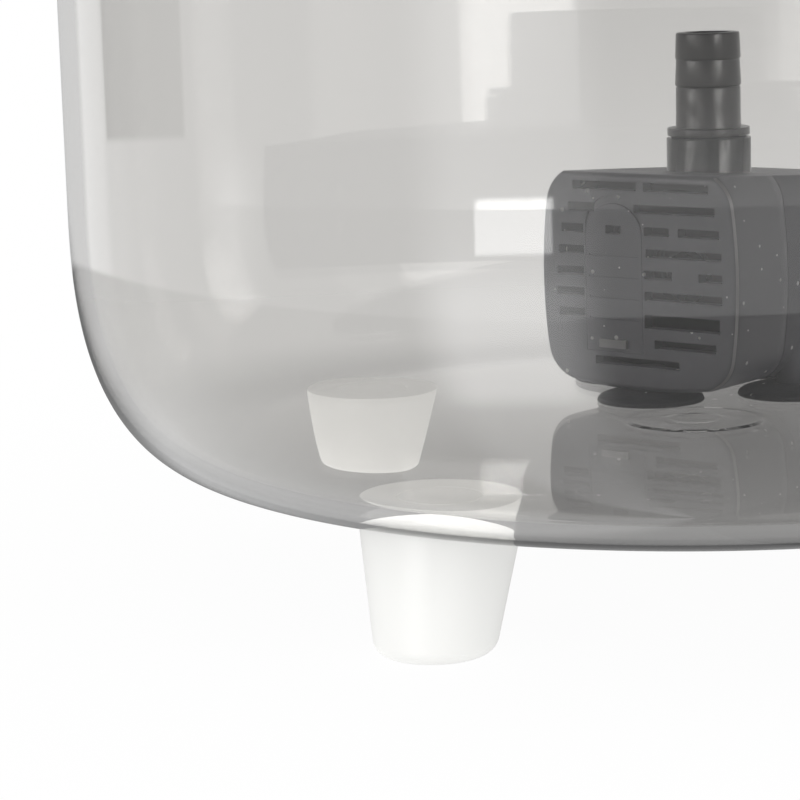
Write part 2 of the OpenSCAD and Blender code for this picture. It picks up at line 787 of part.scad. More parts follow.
module filter_grate() {
    knob_r = 5;
    knob_h = 5;
    slot_w = 2.4;
    color([0.96, 0.96, 0.95])
    at_filter() difference() {
        union() {
            translate([0, 0, dish_z]) cylinder(r = basket_r + flange_over, h = grate_t);
            translate([0, 0, dish_z - grate_skirt])
                ring(basket_r - basket_wall - seat_gap, basket_r - basket_wall - 1.4, grate_skirt + 0.5);
            translate([0, 0, dish_z + grate_t - 0.5]) cylinder(r1 = knob_r - 1, r2 = knob_r, h = knob_h);
        }
        // three rings of curved drain slots, each broken by six bars
        for (k = [0:2]) difference() {
            translate([0, 0, dish_z - 1]) ring(9.4 + k * 5.6, 9.4 + k * 5.6 - slot_w, grate_t + 3);
            for (i = [0:5]) rotate([0, 0, 60 * i + 30 * k])
                translate([0, -1.2, dish_z - 2]) cube([basket_r, 2.4, grate_t + 6]);
        }
    }
}

// ---- spout and riser ----

module spout() {
    flare = 0.8;
    color([0.9, 0.9, 0.9])
    at_tower() difference() {
        union() {
            translate([0, 0, spout_seat_z]) cylinder(r = spout_r, h = spout_top_z - spout_seat_z);
            translate([0, 0, tower_z + spout_gap]) cylinder(r = tower_r, h = collar_t);
            translate([0, 0, tower_z + spout_gap + collar_t]) cylinder(r1 = tower_r - 1, r2 = spout_r, h = 4);
            translate([0, 0, spout_top_z - 0.01]) cylinder(r1 = spout_r, r2 = neck_r, h = 3);
            translate([0, -neck_bend_r, spout_top_z]) rotate([0, 0, 90]) rotate([90, 0, 0])
                rotate_extrude(angle = 180) translate([neck_bend_r, 0]) circle(neck_r);
            translate([0, -2 * neck_bend_r, spout_top_z - tip_drop])
                cylinder(r1 = neck_r + flare, r2 = neck_r, h = tip_drop);
        }
        translate([0, 0, spout_seat_z - 1]) cylinder(r = spout_bore_r, h = spout_top_z - spout_seat_z + 1);
        translate([0, -neck_bend_r, spout_top_z]) rotate([0, 0, 90]) rotate([90, 0, 0])
            rotate_extrude(angle = 180) translate([neck_bend_r, 0]) circle(neck_bore_r);
        translate([0, 0, spout_top_z - 1]) cylinder(r = neck_bore_r, h = 1);
        translate([0, -2 * neck_bend_r, spout_top_z - tip_drop - 1])
            cylinder(r = neck_bore_r, h = tip_drop + 1);
    }
}

module spout_seal() {
    color([0.15, 0.15, 0.15])
    at_tower() translate([0, 0, tower_z]) ring(tower_r - 0.8, spout_r + 0.15, spout_gap);
}

module riser() {
    mouth = 0.4;
    color([0.8, 0.82, 0.84, 0.5])
    at_tower() translate([0, 0, riser_z]) rotate_extrude() polygon([
        [riser_bore_r + mouth, 0], [riser_r, 0], [riser_r, riser_len - mouth],
        [riser_r - mouth, riser_len], [riser_bore_r, riser_len], [riser_bore_r, mouth]]);
}

tank();
foot(0);  // foot_front_left
foot(1);  // foot_rear_left
foot(2);  // foot_rear_right
foot(3);  // foot_front_right
pump_housing();
intake_cover();
flow_slider();
nozzle();
nozzle_seal();
volute_cover();
impeller();
rotor_magnet();
rotor_shaft();
bush(-seam_front - wall_t + 0.3);  // bush_front
bush(well_back);  // bush_rear
stator_core();
coil_bobbin();
stator_coil();
rear_cover();
cable_gland();
suction_cup(0, cross_y - cup_reach);  // cup_front
suction_cup(-cup_reach, cross_y);  // cup_left
suction_cup(cup_reach, cross_y);  // cup_right
suction_cup(0, cross_y + cup_reach);  // cup_rear
lid_tray();
filter_grate();
filter_pad();
filter_basket();
spout();
spout_seal();
riser();
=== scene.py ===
import math

import bmesh
import bpy
from mathutils import Matrix, Vector


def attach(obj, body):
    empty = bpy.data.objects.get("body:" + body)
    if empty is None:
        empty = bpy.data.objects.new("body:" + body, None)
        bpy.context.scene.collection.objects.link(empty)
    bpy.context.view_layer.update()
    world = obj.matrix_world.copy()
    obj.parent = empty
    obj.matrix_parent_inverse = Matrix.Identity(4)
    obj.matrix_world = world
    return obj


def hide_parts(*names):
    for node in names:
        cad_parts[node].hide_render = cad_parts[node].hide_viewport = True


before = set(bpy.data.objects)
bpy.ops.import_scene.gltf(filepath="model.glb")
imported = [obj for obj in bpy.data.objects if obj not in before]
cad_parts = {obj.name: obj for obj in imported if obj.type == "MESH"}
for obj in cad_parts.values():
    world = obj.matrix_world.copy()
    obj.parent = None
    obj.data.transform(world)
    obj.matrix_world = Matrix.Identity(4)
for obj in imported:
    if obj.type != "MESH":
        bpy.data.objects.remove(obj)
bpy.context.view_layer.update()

# ---------------- sizes, in millimetres and degrees

MM = 0.001
# tank: outer radius, wall, and the heights of its underside, floor and rim
TANK_R, TANK_WALL, TANK_BASE_Z, TANK_FLOOR_Z, RIM_Z = 95.0, 2.5, 18.0, 21.0, 123.0
# the tank's bottom bend: how far it goes in and up, and the power of its curve
BEND_ACROSS, BEND_UP, BEND_POWER = 26.0, 41.0, 2.6
# low disc in the middle of the tank's floor: its radius and height, and the radius of its fine groove
DISC_R, DISC_H, DISC_GROOVE_R = 10.5, 0.1, 4.3
# feet: radii at top and base, distance from the middle, turn of the first foot, outward lean
FOOT_TOP_R, FOOT_BASE_R, FOOT_RING_R, FOOT_TURN, FOOT_LEAN = 11.3, 8.4, 65.0, 27.5, 6.6
# the peg that holds a foot shows as a fine ring in its top
PEG_R = 6.4
# pump: how far its outlet stands behind the tank's middle, and its turn
OUTLET_BACK, PUMP_TURN = 32.5, 28.7
PUMP_W, PUMP_H, PUMP_LIFT, PUMP_SKIN = 38.0, 37.4, 2.15, 1.6
# the pump's front face and its seam with the housing, in front of the outlet
PUMP_FRONT, PUMP_SEAM = 21.3, 6.3
# the pump's section: corners, bulge of its sides, and the plane that cuts its top and falls rearwards
CORNER_R, SIDE_BULGE, TOP_CUT, TOP_FALL = 6.5, 0.8, 1.5, 4.1
PUMP_MID = PUMP_LIFT + PUMP_H / 2
PUMP_TOP = PUMP_LIFT + PUMP_H
FALL = math.tan(math.radians(TOP_FALL))
OUTLET_TOP = PUMP_TOP - TOP_CUT - PUMP_FRONT * FALL
# intake face: thickness, heights of the slots, distance from row to row
FACE_T, SLOT_H, TALL_SLOT_H, ROW_PITCH = 2.2, 1.4, 2.3, 3.52
# outlet: the socket, and the nozzle's bore and barbs
SOCKET_R, SOCKET_TOP, BORE_R, BARB_R = 6.9, OUTLET_TOP + 5.65, 3.6, 5.4
# suction cups: radius, distance from the middle of their cross, and that middle's place
CUP_R, CUP_REACH, CROSS_Y = 8.7, 16.4, -1.4
# motor: impeller chamber, the rotor's well, and the iron's yoke and legs
CHAMBER_BACK, WELL_OUT_R, BUSH_LEN = PUMP_SEAM - 1.4, 7.8, 2.4
MOTOR_FRONT = CHAMBER_BACK + 2
WELL_BACK = CHAMBER_BACK + 11.7
YOKE_FRONT, YOKE_T, CORE_HALF_H = WELL_BACK + BUSH_LEN + 2.7, 3.2, 6.5
LEG_IN, LEG_T = WELL_OUT_R + 0.3, 4.0
# drinking tray: height of its dish, and the place of the filter cartridge
DISH_Z, FILTER_Y = 112.0, -34.0

# ---------------- mesh helpers


def link_mesh(name, bm):
    """Links a mesh to the scene as a new object."""
    mesh = bpy.data.meshes.new(name)
    bm.to_mesh(mesh)
    bm.free()
    piece = bpy.data.objects.new(name, mesh)
    bpy.context.scene.collection.objects.link(piece)
    return piece


def to_object(name, bm, matrix=None):
    """Puts its place in a mesh made in millimetres, scales it to metres and links it."""
    if matrix is not None:
        bmesh.ops.transform(bm, matrix=matrix, verts=bm.verts)
    bmesh.ops.scale(bm, vec=(MM, MM, MM), verts=bm.verts)
    return link_mesh(name, bm)


def move_in_mm(piece, matrix):
    """Moves a finished mesh by a matrix that is written in millimetres."""
    piece.data.transform(Matrix.Scale(MM, 4) @ matrix @ Matrix.Scale(1 / MM, 4))


def lathe(profile, steps=128, lean=None):
    """Closed solid turned round Z from a closed outline of (radius, height).

    lean gives each height a shift in X and Y.
    """
    bm = bmesh.new()
    turns = [2 * math.pi * i / steps for i in range(steps)]
    rings = []
    for r, z in profile:
        dx, dy = lean(z) if lean else (0.0, 0.0)
        if r < 1e-6:
            rings.append([bm.verts.new((dx, dy, z))])
        else:
            rings.append([bm.verts.new((dx + r * math.cos(t), dy + r * math.sin(t), z)) for t in turns])
    for a, b in zip(rings, rings[1:] + rings[:1]):
        for i in range(steps):
            j = (i + 1) % steps
            if len(a) == 1 and len(b) == 1:
                break
            if len(a) == 1:
                bm.faces.new((a[0], b[i], b[j]))
            elif len(b) == 1:
                bm.faces.new((a[j], a[i], b[0]))
            else:
                bm.faces.new((a[i], b[i], b[j], a[j]))
    bmesh.ops.recalc_face_normals(bm, faces=bm.faces)
    return bm


def loft(rings):
    """Closed solid through rings of equal point counts, capped at both ends."""
    bm = bmesh.new()
    loops = [[bm.verts.new(p) for p in ring] for ring in rings]
    n = len(loops[0])
    for a, b in zip(loops, loops[1:]):
        for i in range(n):
            j = (i + 1) % n
            bm.faces.new((a[i], a[j], b[j], b[i]))
    bm.faces.new(list(reversed(loops[0])))
    bm.faces.new(loops[-1])
    bmesh.ops.recalc_face_normals(bm, faces=bm.faces)
    return bm


def box(low, high):
    bm = bmesh.new()
    bmesh.ops.create_cube(bm, size=1.0)
    for v in bm.verts:
        v.co = Vector([(low[k] + high[k]) / 2 + v.co[k] * (high[k] - low[k]) for k in range(3)])
    return bm


def rod(r, z0, z1, steps, at=(0, 0)):
    bm = lathe([(0, z0), (r, z0), (r, z1), (0, z1)], steps)
    bmesh.ops.translate(bm, vec=(at[0], at[1], 0), verts=bm.verts)
    return bm


def arc(cx, cy, r, start, end, parts):
    """Points of an arc from one angle to another, in degrees."""
    turns = [math.radians(start + (end - start) * i / parts) for i in range(parts + 1)]
    return [(cx + r * math.cos(t), cy + r * math.sin(t)) for t in turns]


def settle(piece):
    """Replaces a piece's mesh by what its modifiers make of it."""
    graph = bpy.context.evaluated_depsgraph_get()
    graph.update()
    mesh = bpy.data.meshes.new_from_object(piece.evaluated_get(graph))
    old = piece.data
    piece.modifiers.clear()
    piece.data = mesh
    bpy.data.meshes.remove(old)


def combine(base, tools, operation):
    """Exact boolean of a piece with several meshes, one after the other."""
    for tool in tools:
        other = to_object("tool", tool)
        mod = base.modifiers.new("cut", "BOOLEAN")
        mod.operation, mod.object, mod.solver = operation, other, "EXACT"
        settle(base)
        bpy.data.objects.remove(other)


def smooth(piece, angle=30):
    """Smooth shading, with edges sharper than the angle kept sharp."""
    for p in piece.data.polygons:
        p.use_smooth = True
    piece.data.set_sharp_from_angle(angle=math.radians(angle))


def soften(piece, width, angle):
    """Rounds the edges that are sharper than the angle and keeps the flats flat."""
    mod = piece.modifiers.new("edge", "BEVEL")
    mod.width, mod.segments = width * MM, 2
    mod.limit_method, mod.angle_limit = "ANGLE", math.radians(angle)
    mod.use_clamp_overlap, mod.harden_normals = True, True
    for p in piece.data.polygons:
        p.use_smooth = True
    settle(piece)


def from_node(name, node, width):
    """A piece made from a CAD node's own shape, with its triangles merged and its edges rounded."""
    bm = bmesh.new()
    bm.from_mesh(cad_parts[node].data)
    bmesh.ops.remove_doubles(bm, verts=bm.verts, dist=1e-6)
    bmesh.ops.dissolve_limit(bm, angle_limit=math.radians(0.6), verts=bm.verts, edges=bm.edges)
    piece = link_mesh(name, bm)
    if width:
        soften(piece, width, 40)
    else:
        smooth(piece)
    return piece


def dress(piece, material, body, slot, *nodes):
    """Gives a piece its material and the body it rides, and hides the CAD nodes it stands for. The slot is
    not used.
    """
    piece.data.materials.clear()
    piece.data.materials.append(material)
    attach(piece, body)
    if nodes:
        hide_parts(*nodes)


# ---------------- node tree helpers

GROUP_ENDS = {"inp": "NodeGroupInput", "out": "NodeGroupOutput"}


def add_nodes(tree, **kinds):
    """Adds nodes to a tree and returns them by name. A kind without "Node" in it is one of the tree's own."""
    own = tree.bl_idname.replace("NodeTree", "Node")
    return {name: tree.nodes.new(kind if "Node" in kind else own + kind) for name, kind in kinds.items()}


def setup(node, values):
    """Sets a node's inputs, by name or number."""
    for key, value in values.items():
        node.inputs[key].default_value = value


def wire(tree, parts, links):
    """Links nodes. Each line reads: node.Output > node.Input, by the socket's name or number."""
    for line in links.strip().splitlines():
        ends = []
        for side in line.split(">"):
            name, key = side.strip().split(".")
            ends.append((parts[name], int(key) if key.isdigit() else key))
        (source, output), (target, entry) = ends
        tree.links.new(source.outputs[output], target.inputs[entry])


def find(tree, kind):
    return next(node for node in tree.nodes if node.type == kind)


def skin(material):
    return find(material.node_tree, "BSDF_PRINCIPLED")


def new_material(name, **kinds):
    """A material, its tree, and its nodes by name: the Principled shader, the output and those asked for."""
    material = bpy.data.materials.new(name)
    material.use_nodes = True
    tree = material.node_tree
    parts = {"bsdf": skin(material), "out": find(tree, "OUTPUT_MATERIAL"), **add_nodes(tree, **kinds)}
    return material, tree, parts


def new_group(name, inputs, outputs):
    """A shader node group with number sockets: the inputs with their usual values, and the outputs."""
    group = bpy.data.node_groups.new(name, "ShaderNodeTree")
    for label, value in inputs.items():
        entry = group.interface.new_socket(name=label, in_out="INPUT", socket_type="NodeSocketFloat")
        entry.default_value = value
    for label in outputs:
        group.interface.new_socket(name=label, in_out="OUTPUT", socket_type="NodeSocketFloat")
    return group


# ---------------- materials


def grain_group():
    """Moulded plastic's skin: a height for bump and a roughness that wanders a little."""
    group = new_group("moulded_grain", {"Scale": 900.0, "Patch Scale": 45.0, "Roughness Low": 0.3,
                                        "Roughness High": 0.45}, ("Height", "Roughness"))
    parts = add_nodes(group, coord="TexCoord", fine="TexNoise", patch="TexNoise", spread="MapRange",
                      **GROUP_ENDS)
    setup(parts["fine"], {"Detail": 3.0})
    setup(parts["patch"], {"Detail": 2.0})
    setup(parts["spread"], {"From Min": 0.32, "From Max": 0.68})
    wire(group, parts, """
        coord.Object > fine.Vector
        coord.Object > patch.Vector
        inp.Scale > fine.Scale
        inp.Patch Scale > patch.Scale
        patch.Fac > spread.Value
        inp.Roughness Low > spread.To Min
        inp.Roughness High > spread.To Max
        fine.Fac > out.Height
        spread.Result > out.Roughness
    """)
    return group


def dust_group():
    """Loose specks: a mask that is 1 in a few small dots, scattered by a seeded cell pattern."""
    group = new_group("dust_specks", {"Scale": 420.0, "Size": 0.12, "Share": 0.1}, ("Mask",))
    parts = add_nodes(group, coord="TexCoord", cells="TexVoronoi", split="SeparateColor", size="Math",
                      near="Math", few="Math", both="Math", **GROUP_ENDS)
    parts["cells"].feature = "F1"
    parts["size"].operation = parts["both"].operation = "MULTIPLY"
    parts["near"].operation = parts["few"].operation = "LESS_THAN"
    wire(group, parts, """
        coord.Object > cells.Vector
        inp.Scale > cells.Scale
        cells.Color > split.Color
        split.Green > size.0
        inp.Size > size.1
        cells.Distance > near.0
        size.0 > near.1
        split.Red > few.0
        inp.Share > few.1
        near.0 > both.0
        few.0 > both.1
        both.0 > out.Mask
    """)
    return group


GRAIN, DUST = grain_group(), dust_group()
GRAIN_DEPTH, COAT_ROUGHNESS, DUST_COLOUR = 0.0002, 0.12, (0.75, 0.74, 0.72, 1)


def plastic(name, colour, scale, low, high, bump, coat=0.0, dust=None, tone=0.06):
    """Moulded plastic, rubber or metal, with a grain, a colour that varies by tone, and dust where asked.

    scale and bump are the grain's, low and high its roughness. dust is the specks' scale, size and share.
    """
    material, tree, parts = new_material(name, grain="Group", ramp="MapRange", vary="Mix", height="Bump")
    parts["grain"].node_tree = GRAIN
    parts["vary"].data_type = "RGBA"
    setup(parts["grain"], {"Scale": scale, "Roughness Low": low, "Roughness High": high})
    setup(parts["ramp"], {"From Min": low, "From Max": high})
    darker, lighter = [[min(1.0, c * (1 + sign * tone)) for c in colour] + [1] for sign in (-1, 1)]
    setup(parts["vary"], {"A": darker, "B": lighter})
    setup(parts["height"], {"Strength": bump, "Distance": GRAIN_DEPTH})
    setup(parts["bsdf"], {"Coat Weight": coat, "Coat Roughness": COAT_ROUGHNESS})
    wire(tree, parts, """
        grain.Roughness > ramp.Value
        ramp.Result > vary.Factor
        grain.Roughness > bsdf.Roughness
        grain.Height > height.Height
        height.Normal > bsdf.Normal
        vary.Result > bsdf.Base Color
    """)
    if dust:
        parts.update(add_nodes(tree, specks="Group", over="Mix"))
        parts["specks"].node_tree = DUST
        parts["over"].data_type = "RGBA"
        setup(parts["specks"], dict(zip(("Scale", "Size", "Share"), dust)))
        setup(parts["over"], {"B": DUST_COLOUR})
        wire(tree, parts, """
            specks.Mask > over.Factor
            vary.Result > over.A
            over.Result > bsdf.Base Color
        """)
    return material


def clear_plastic(name, colour, shadow):
    """Clear plastic that lets its light through as a tint, with faint wiping marks in its gloss."""
    material, tree, parts = new_material(name, coord="TexCoord", wipe="TexNoise", spread="MapRange",
                                         path="LightPath", clear="BsdfTransparent", mix="MixShader")
    setup(parts["bsdf"], {"Base Color": colour, "Transmission Weight": 1.0, "IOR": 1.49})
    setup(parts["wipe"], {"Scale": 14.0, "Detail": 4.0})
    setup(parts["spread"], {"From Min": 0.35, "From Max": 0.75, "To Min": 0.0, "To Max": 0.012})
    setup(parts["clear"], {"Color": shadow})
    wire(tree, parts, """
        coord.Object > wipe.Vector
        wipe.Fac > spread.Value
        spread.Result > bsdf.Roughness
        path.Is Shadow Ray > mix.Fac
        bsdf.BSDF > mix.1
        clear.BSDF > mix.2
        mix.Shader > out.Surface
    """)
    return material


def paint_glow_on_feet(low, behind_plastic):
    """Paints a faint glow into the feet's plastic, stronger where they are seen through the tank, as painted
    light that lightens them.
    """
    tree = FOOT_WHITE.node_tree
    parts = {"bsdf": skin(FOOT_WHITE), **add_nodes(tree, path="LightPath", lift="MapRange")}
    setup(parts["bsdf"], {"Emission Color": (1, 1, 0.98, 1)})
    setup(parts["lift"], {"To Min": low, "To Max": behind_plastic})
    wire(tree, parts, """
        path.Is Transmission Ray > lift.Value
        lift.Result > bsdf.Emission Strength
    """)


SMOKE = clear_plastic("smoke_clear_plastic", (0.918, 0.91, 0.896, 1), (1, 1, 1, 1))
CLEAR_PIPE = clear_plastic("clear_pipe_plastic", (0.93, 0.94, 0.95, 1), (0.95, 0.95, 0.95, 1))

# each line: name, colour, grain's scale, lowest and highest roughness, grain's bump
FOOT_WHITE = plastic("white_satin_plastic", (0.82, 0.82, 0.8), 1500, 0.38, 0.5, 0.03, tone=0.01)
CHARCOAL = plastic("charcoal_plastic", (0.105, 0.104, 0.118), 1500, 0.42, 0.52, 0.02, dust=(430, 0.2, 0.55))
INNER_BLACK = plastic("inner_plastic", (0.02, 0.02, 0.022), 1500, 0.5, 0.6, 0.02)
# a paler copy of the charcoal plastic that paints a highlight on the cover's front edge and a glint on the
# shutter's grip
EDGE_HIGHLIGHT = plastic("painted_highlight_plastic", (0.34, 0.335, 0.33), 1500, 0.2, 0.3, 0.01, dust=(430, 0.2, 0.5))
SOCKET_BLACK = plastic("socket_plastic", (0.012, 0.011, 0.011), 1500, 0.14, 0.22, 0.01, dust=(430, 0.16, 0.2))
NOZZLE_BLACK = plastic("black_gloss_plastic", (0.06, 0.057, 0.055), 1500, 0.24, 0.34, 0.015,
                       dust=(430, 0.16, 0.3))
RUBBER = plastic("black_rubber", (0.009, 0.009, 0.011), 4200, 0.5, 0.66, 0.1, dust=(430, 0.16, 0.4))
GLOSS_WHITE = plastic("white_gloss_plastic", (0.76, 0.76, 0.75), 1200, 0.14, 0.22, 0.02, coat=0.2, tone=0.01)
ACETAL = plastic("white_acetal", (0.85, 0.85, 0.83), 1500, 0.35, 0.5, 0.05, tone=0.02)
FERRITE = plastic("ferrite", (0.04, 0.04, 0.044), 3000, 0.35, 0.6, 0.3, tone=0.2)
SHAFT = plastic("shaft_ceramic", (0.85, 0.84, 0.8), 2500, 0.08, 0.16, 0.02, tone=0.01)
BOBBIN = plastic("bobbin_plastic", (0.7, 0.67, 0.55), 1500, 0.4, 0.55, 0.05)
STEEL = plastic("core_steel", (0.4, 0.41, 0.43), 1900, 0.28, 0.5, 0.1)
COPPER = plastic("copper_winding", (0.6, 0.27, 0.12), 1500, 0.25, 0.4, 0.05)
FOAM = plastic("filter_foam", (0.8, 0.8, 0.76), 700, 0.85, 0.95, 1.0, tone=0.12)

# painted glow in the feet: 0.1 everywhere, 0.33 where they are seen through the tank
paint_glow_on_feet(low=0.1, behind_plastic=0.33)
setup(skin(STEEL), {"Metallic": 1.0})
setup(skin(COPPER), {"Metallic": 0.9})
for dull in (SOCKET_BLACK, RUBBER):
    setup(skin(dull), {"Specular IOR Level": 0.25})

# ---------------- tank


def bend_at(t):
    """Radius and height on the bend's outer curve, from 0 at the flat underside to 90 at the wall."""
    s, c = math.sin(math.radians(t)), max(0.0, math.cos(math.radians(t)))
    return (TANK_R - BEND_ACROSS + BEND_ACROSS * s ** (2 / BEND_POWER),
            TANK_BASE_Z + BEND_UP * (1 - c ** (2 / BEND_POWER)))


def bend_inside(t):
    """The inner curve, a wall's thickness inside the outer one, growing to the floor's."""
    s, c = math.sin(math.radians(t)), math.cos(math.radians(t))
    across = BEND_ACROSS * s ** (2 / BEND_POWER - 1) * c
    up = BEND_UP * c ** (2 / BEND_POWER - 1) * s
    along = Vector((across, up)).normalized()
    out = Vector((along.y, -along.x))
    floor_more = TANK_FLOOR_Z - TANK_BASE_Z - TANK_WALL
    return tuple(Vector(bend_at(t)) - (TANK_WALL - floor_more * out.y) * out)


def tank_outline():
    """The tank's section: underside, bend, wall and rim, then back inside to the floor and its disc."""
    flat, in_r, lip = TANK_R - BEND_ACROSS, TANK_R - TANK_WALL, TANK_WALL / 3
    low, high = TANK_FLOOR_Z, TANK_FLOOR_Z + DISC_H
    steps = [90 * i / 60 for i in range(61)]
    heights = (70, 85, 100, 112)
    under = [(r, TANK_BASE_Z) for r in (0, 25, 50)]
    wall = [(TANK_R, z) for z in heights]
    rim = arc(TANK_R - lip, RIM_Z - lip, lip, 0, 90, 5) + arc(in_r + lip, RIM_Z - lip, lip, 90, 180, 5)
    wall_in = [(in_r, z) for z in (*reversed(heights), TANK_BASE_Z + BEND_UP)]
    floor = [(r, low) for r in (flat, flat - 0.4, 50, 30)]
    # the disc's soft edge by distance from its radius and height, and its groove by distance and depth
    edge_steps = ((1.0, low), (0.7, low), (0.3, low + 0.03), (-0.3, high - 0.03), (-0.7, high), (-1.0, high))
    edge = [(DISC_R + out, z) for out, z in edge_steps]
    groove_steps = ((1.1, 0), (0.8, 0), (0.3, 0.02), (-0.3, 0.02), (-0.8, 0), (-1.1, 0))
    groove = [(DISC_GROOVE_R + out, high - down) for out, down in groove_steps]
    return (under + [bend_at(t) for t in steps] + wall + rim + wall_in
            + [bend_inside(t) for t in reversed(steps[1:-1])] + floor + edge + groove + [(0, high)])


def make_tank():
    tank = to_object("tank_shell", lathe(tank_outline(), 256))
    smooth(tank, 25)
    dress(tank, SMOKE, "tank_and_pump", "smoke_clear_plastic", "tank")


make_tank()

# ---------------- feet

FOOT_NODES = ["foot_front_left", "foot_rear_left", "foot_rear_right", "foot_front_right"]
# the rounding of a foot's base edge, and the width and depth of the ring in its top
FOOT_EDGE, RING_W, RING_DEPTH = 2.0, 0.3, 0.35


def under_tank():
    """The room the tank takes above the feet, a hair larger than its outer shape."""
    hair, over = 0.06, TANK_BASE_Z + 20
    bend = [(r, z - hair) for r, z in (bend_at(t) for t in range(0, 46, 3))]
    flat = [(r, TANK_BASE_Z - hair) for r in (0, 50)]
    return lathe(flat + bend + [(TANK_R, over), (0, over)], 256)


def make_foot(i):
    """Cone that meets the tank's curved underside all round, with the fine ring of its peg in the top."""
    top, edge = TANK_BASE_Z, FOOT_EDGE
    high, ring, groove = top + 5, PEG_R - 0.6, top - RING_DEPTH
    slope = (FOOT_TOP_R - FOOT_BASE_R) / top
    foot_edge = []
    for t in range(0, 91, 10):
        s, c = math.sin(math.radians(t)), math.cos(math.radians(t))
        foot_edge.append((FOOT_BASE_R - edge + edge * s + slope * edge * (1 - c), edge * (1 - c)))
    side = [(FOOT_BASE_R + slope * z, z) for z in (4, 8, 12, 16)]
    outline = ([(0, 0), (FOOT_BASE_R - edge - 3, 0)] + foot_edge + side
               + [(FOOT_TOP_R, top), (FOOT_TOP_R, high), (ring + RING_W, high), (ring + RING_W, groove),
                  (ring, groove), (ring, high), (0, high)])
    turn = math.radians(FOOT_TURN + 90 * i)
    way_x, way_y = -math.sin(turn), -math.cos(turn)

    def lean(z):
        reach = (top - z) * math.tan(math.radians(FOOT_LEAN))
        return reach * way_x, reach * way_y

    place = Matrix.Translation((FOOT_RING_R * way_x, FOOT_RING_R * way_y, 0))
    foot = to_object(FOOT_NODES[i] + "_cap", lathe(outline, 96, lean), place)
    combine(foot, [under_tank()], "DIFFERENCE")
    smooth(foot, 40)
    dress(foot, FOOT_WHITE, "tank_and_pump", "white_satin_plastic", FOOT_NODES[i])


for foot_no in range(4):
    make_foot(foot_no)

# ---------------- pump

AT_OUTLET = Vector((0, OUTLET_BACK, TANK_FLOOR_Z))
AT_PUMP = Matrix.Translation(AT_OUTLET) @ Matrix.Rotation(math.radians(-PUMP_TURN), 4, "Z")
# the pump's section: how far in its corner arcs' middles lie, their place, and the radii of its long arcs
CORNER_IN = CORNER_R + SIDE_BULGE
CORNER_X, CORNER_Z = PUMP_W / 2 - CORNER_IN, PUMP_H / 2 - CORNER_IN
SIDE_ARC = (CORNER_IN ** 2 + CORNER_Z ** 2 - CORNER_R ** 2) / (2 * SIDE_BULGE)
TOP_ARC = (CORNER_IN ** 2 + CORNER_X ** 2 - CORNER_R ** 2) / (2 * SIDE_BULGE)


def sweep(cx, cz, r, start, end, parts, count):
    """The first few points of an arc set out in equal parts between two angles, in radians."""
    turns = [start + (end - start) * i / parts for i in range(count)]
    return [(cx + r * math.cos(t), cz + r * math.sin(t)) for t in turns]


def even_points(line, count, highest):
    """A line of points cut off at a height and set out again at equal distances, both ends kept."""
    kept = []
    for p, q in zip(line, line[1:] + line[-1:]):
        if p[1] >= highest:
            break
        kept.append(p)
        if q[1] > highest:
            f = (highest - p[1]) / (q[1] - p[1])
            kept.append((p[0] + (q[0] - p[0]) * f, highest))
            break
    ways = [0.0]
    for p, q in zip(kept, kept[1:]):
        ways.append(ways[-1] + math.dist(p, q))
    pts, k = [], 0
    for i in range(count):
        want = ways[-1] * i / (count - 1)
        while k < len(kept) - 2 and ways[k + 1] < want:
            k += 1
        f = (want - ways[k]) / (ways[k + 1] - ways[k])
        pts.append(tuple(kept[k][j] + (kept[k + 1][j] - kept[k][j]) * f for j in (0, 1)))
    return pts


def pump_ring(y, inset=0.0):
    """Points of the pump's section at y.

    Long arcs run into short corner arcs, and a plane that falls rearwards cuts the top flat.
    """
    side_x, top_z = PUMP_W / 2 - SIDE_ARC, PUMP_H / 2 - TOP_ARC
    turn, turn_top = math.atan2(CORNER_Z, CORNER_X - side_x), math.atan2(CORNER_Z - top_z, CORNER_X)
    side = sweep(side_x, 0, SIDE_ARC - inset, 0, turn, 8, 8)
    dense = (sweep(CORNER_X, CORNER_Z, CORNER_R - inset, turn, turn_top, 40, 40)
             + sweep(0, top_z, TOP_ARC - inset, turn_top, math.pi / 2, 40, 41))
    cut = PUMP_H / 2 - TOP_CUT - inset - (y + PUMP_FRONT) * FALL
    upper = side + even_points(dense, 18, cut)
    lower = side + even_points(dense, 18, math.inf)
    edge_x = upper[-1][0]
    flat = [(edge_x * (1 - i / 6), cut) for i in range(1, 12)]
    top = upper + flat + [(-x, z) for x, z in reversed(upper)]
    bottom = [(x, -z) for x, z in lower[1:]]
    full = top + [(-x, z) for x, z in bottom] + list(reversed(bottom[:-1]))
    return [(x, y, PUMP_MID + z) for x, z in full]


# the slots' rows, counted down in row pitches, and each slot as row number, left end and right end
TOP_ROW = PUMP_TOP - TOP_CUT - 2.1
ROW_DROP = [0, 1, 2, 3, 4, 5, 6, 7.25, 8.2]
GRILLE = [(0, -12.3, 0.1), (0, 1.5, 13.7), (1, -13.2, -8.3), (1, -0.7, 14.9), (2, -14.7, -10.3),
          (2, 1.5, 6.3), (2, 8, 15.7), (3, -15.2, -10.3), (3, 1.8, 16.1), (4, -15.7, -10.3), (4, 1.4, 6.8),
          (4, 11.8, 16.2), (5, -15.8, -10.3), (5, 1.5, 16.2), (6, -15.4, -10.3), (7, 3.3, 15), (8, -8.3, 8)]
TALL_SLOT = (6.2, 1.4, 15.7)
# shutter: how far its middle stands left of the outlet, width, thickness, travel, top and foot
SHUTTER_LEFT, SHUTTER_W, SHUTTER_T, SHUTTER_TRAVEL = 4.45, 10.8, 0.35, 1.4
SHUTTER_TOP, SHUTTER_LOW = TOP_ROW - 2.95, TOP_ROW - 7 * ROW_PITCH - 2.6
SHUTTER_MID = (SHUTTER_TOP + SHUTTER_LOW) / 2
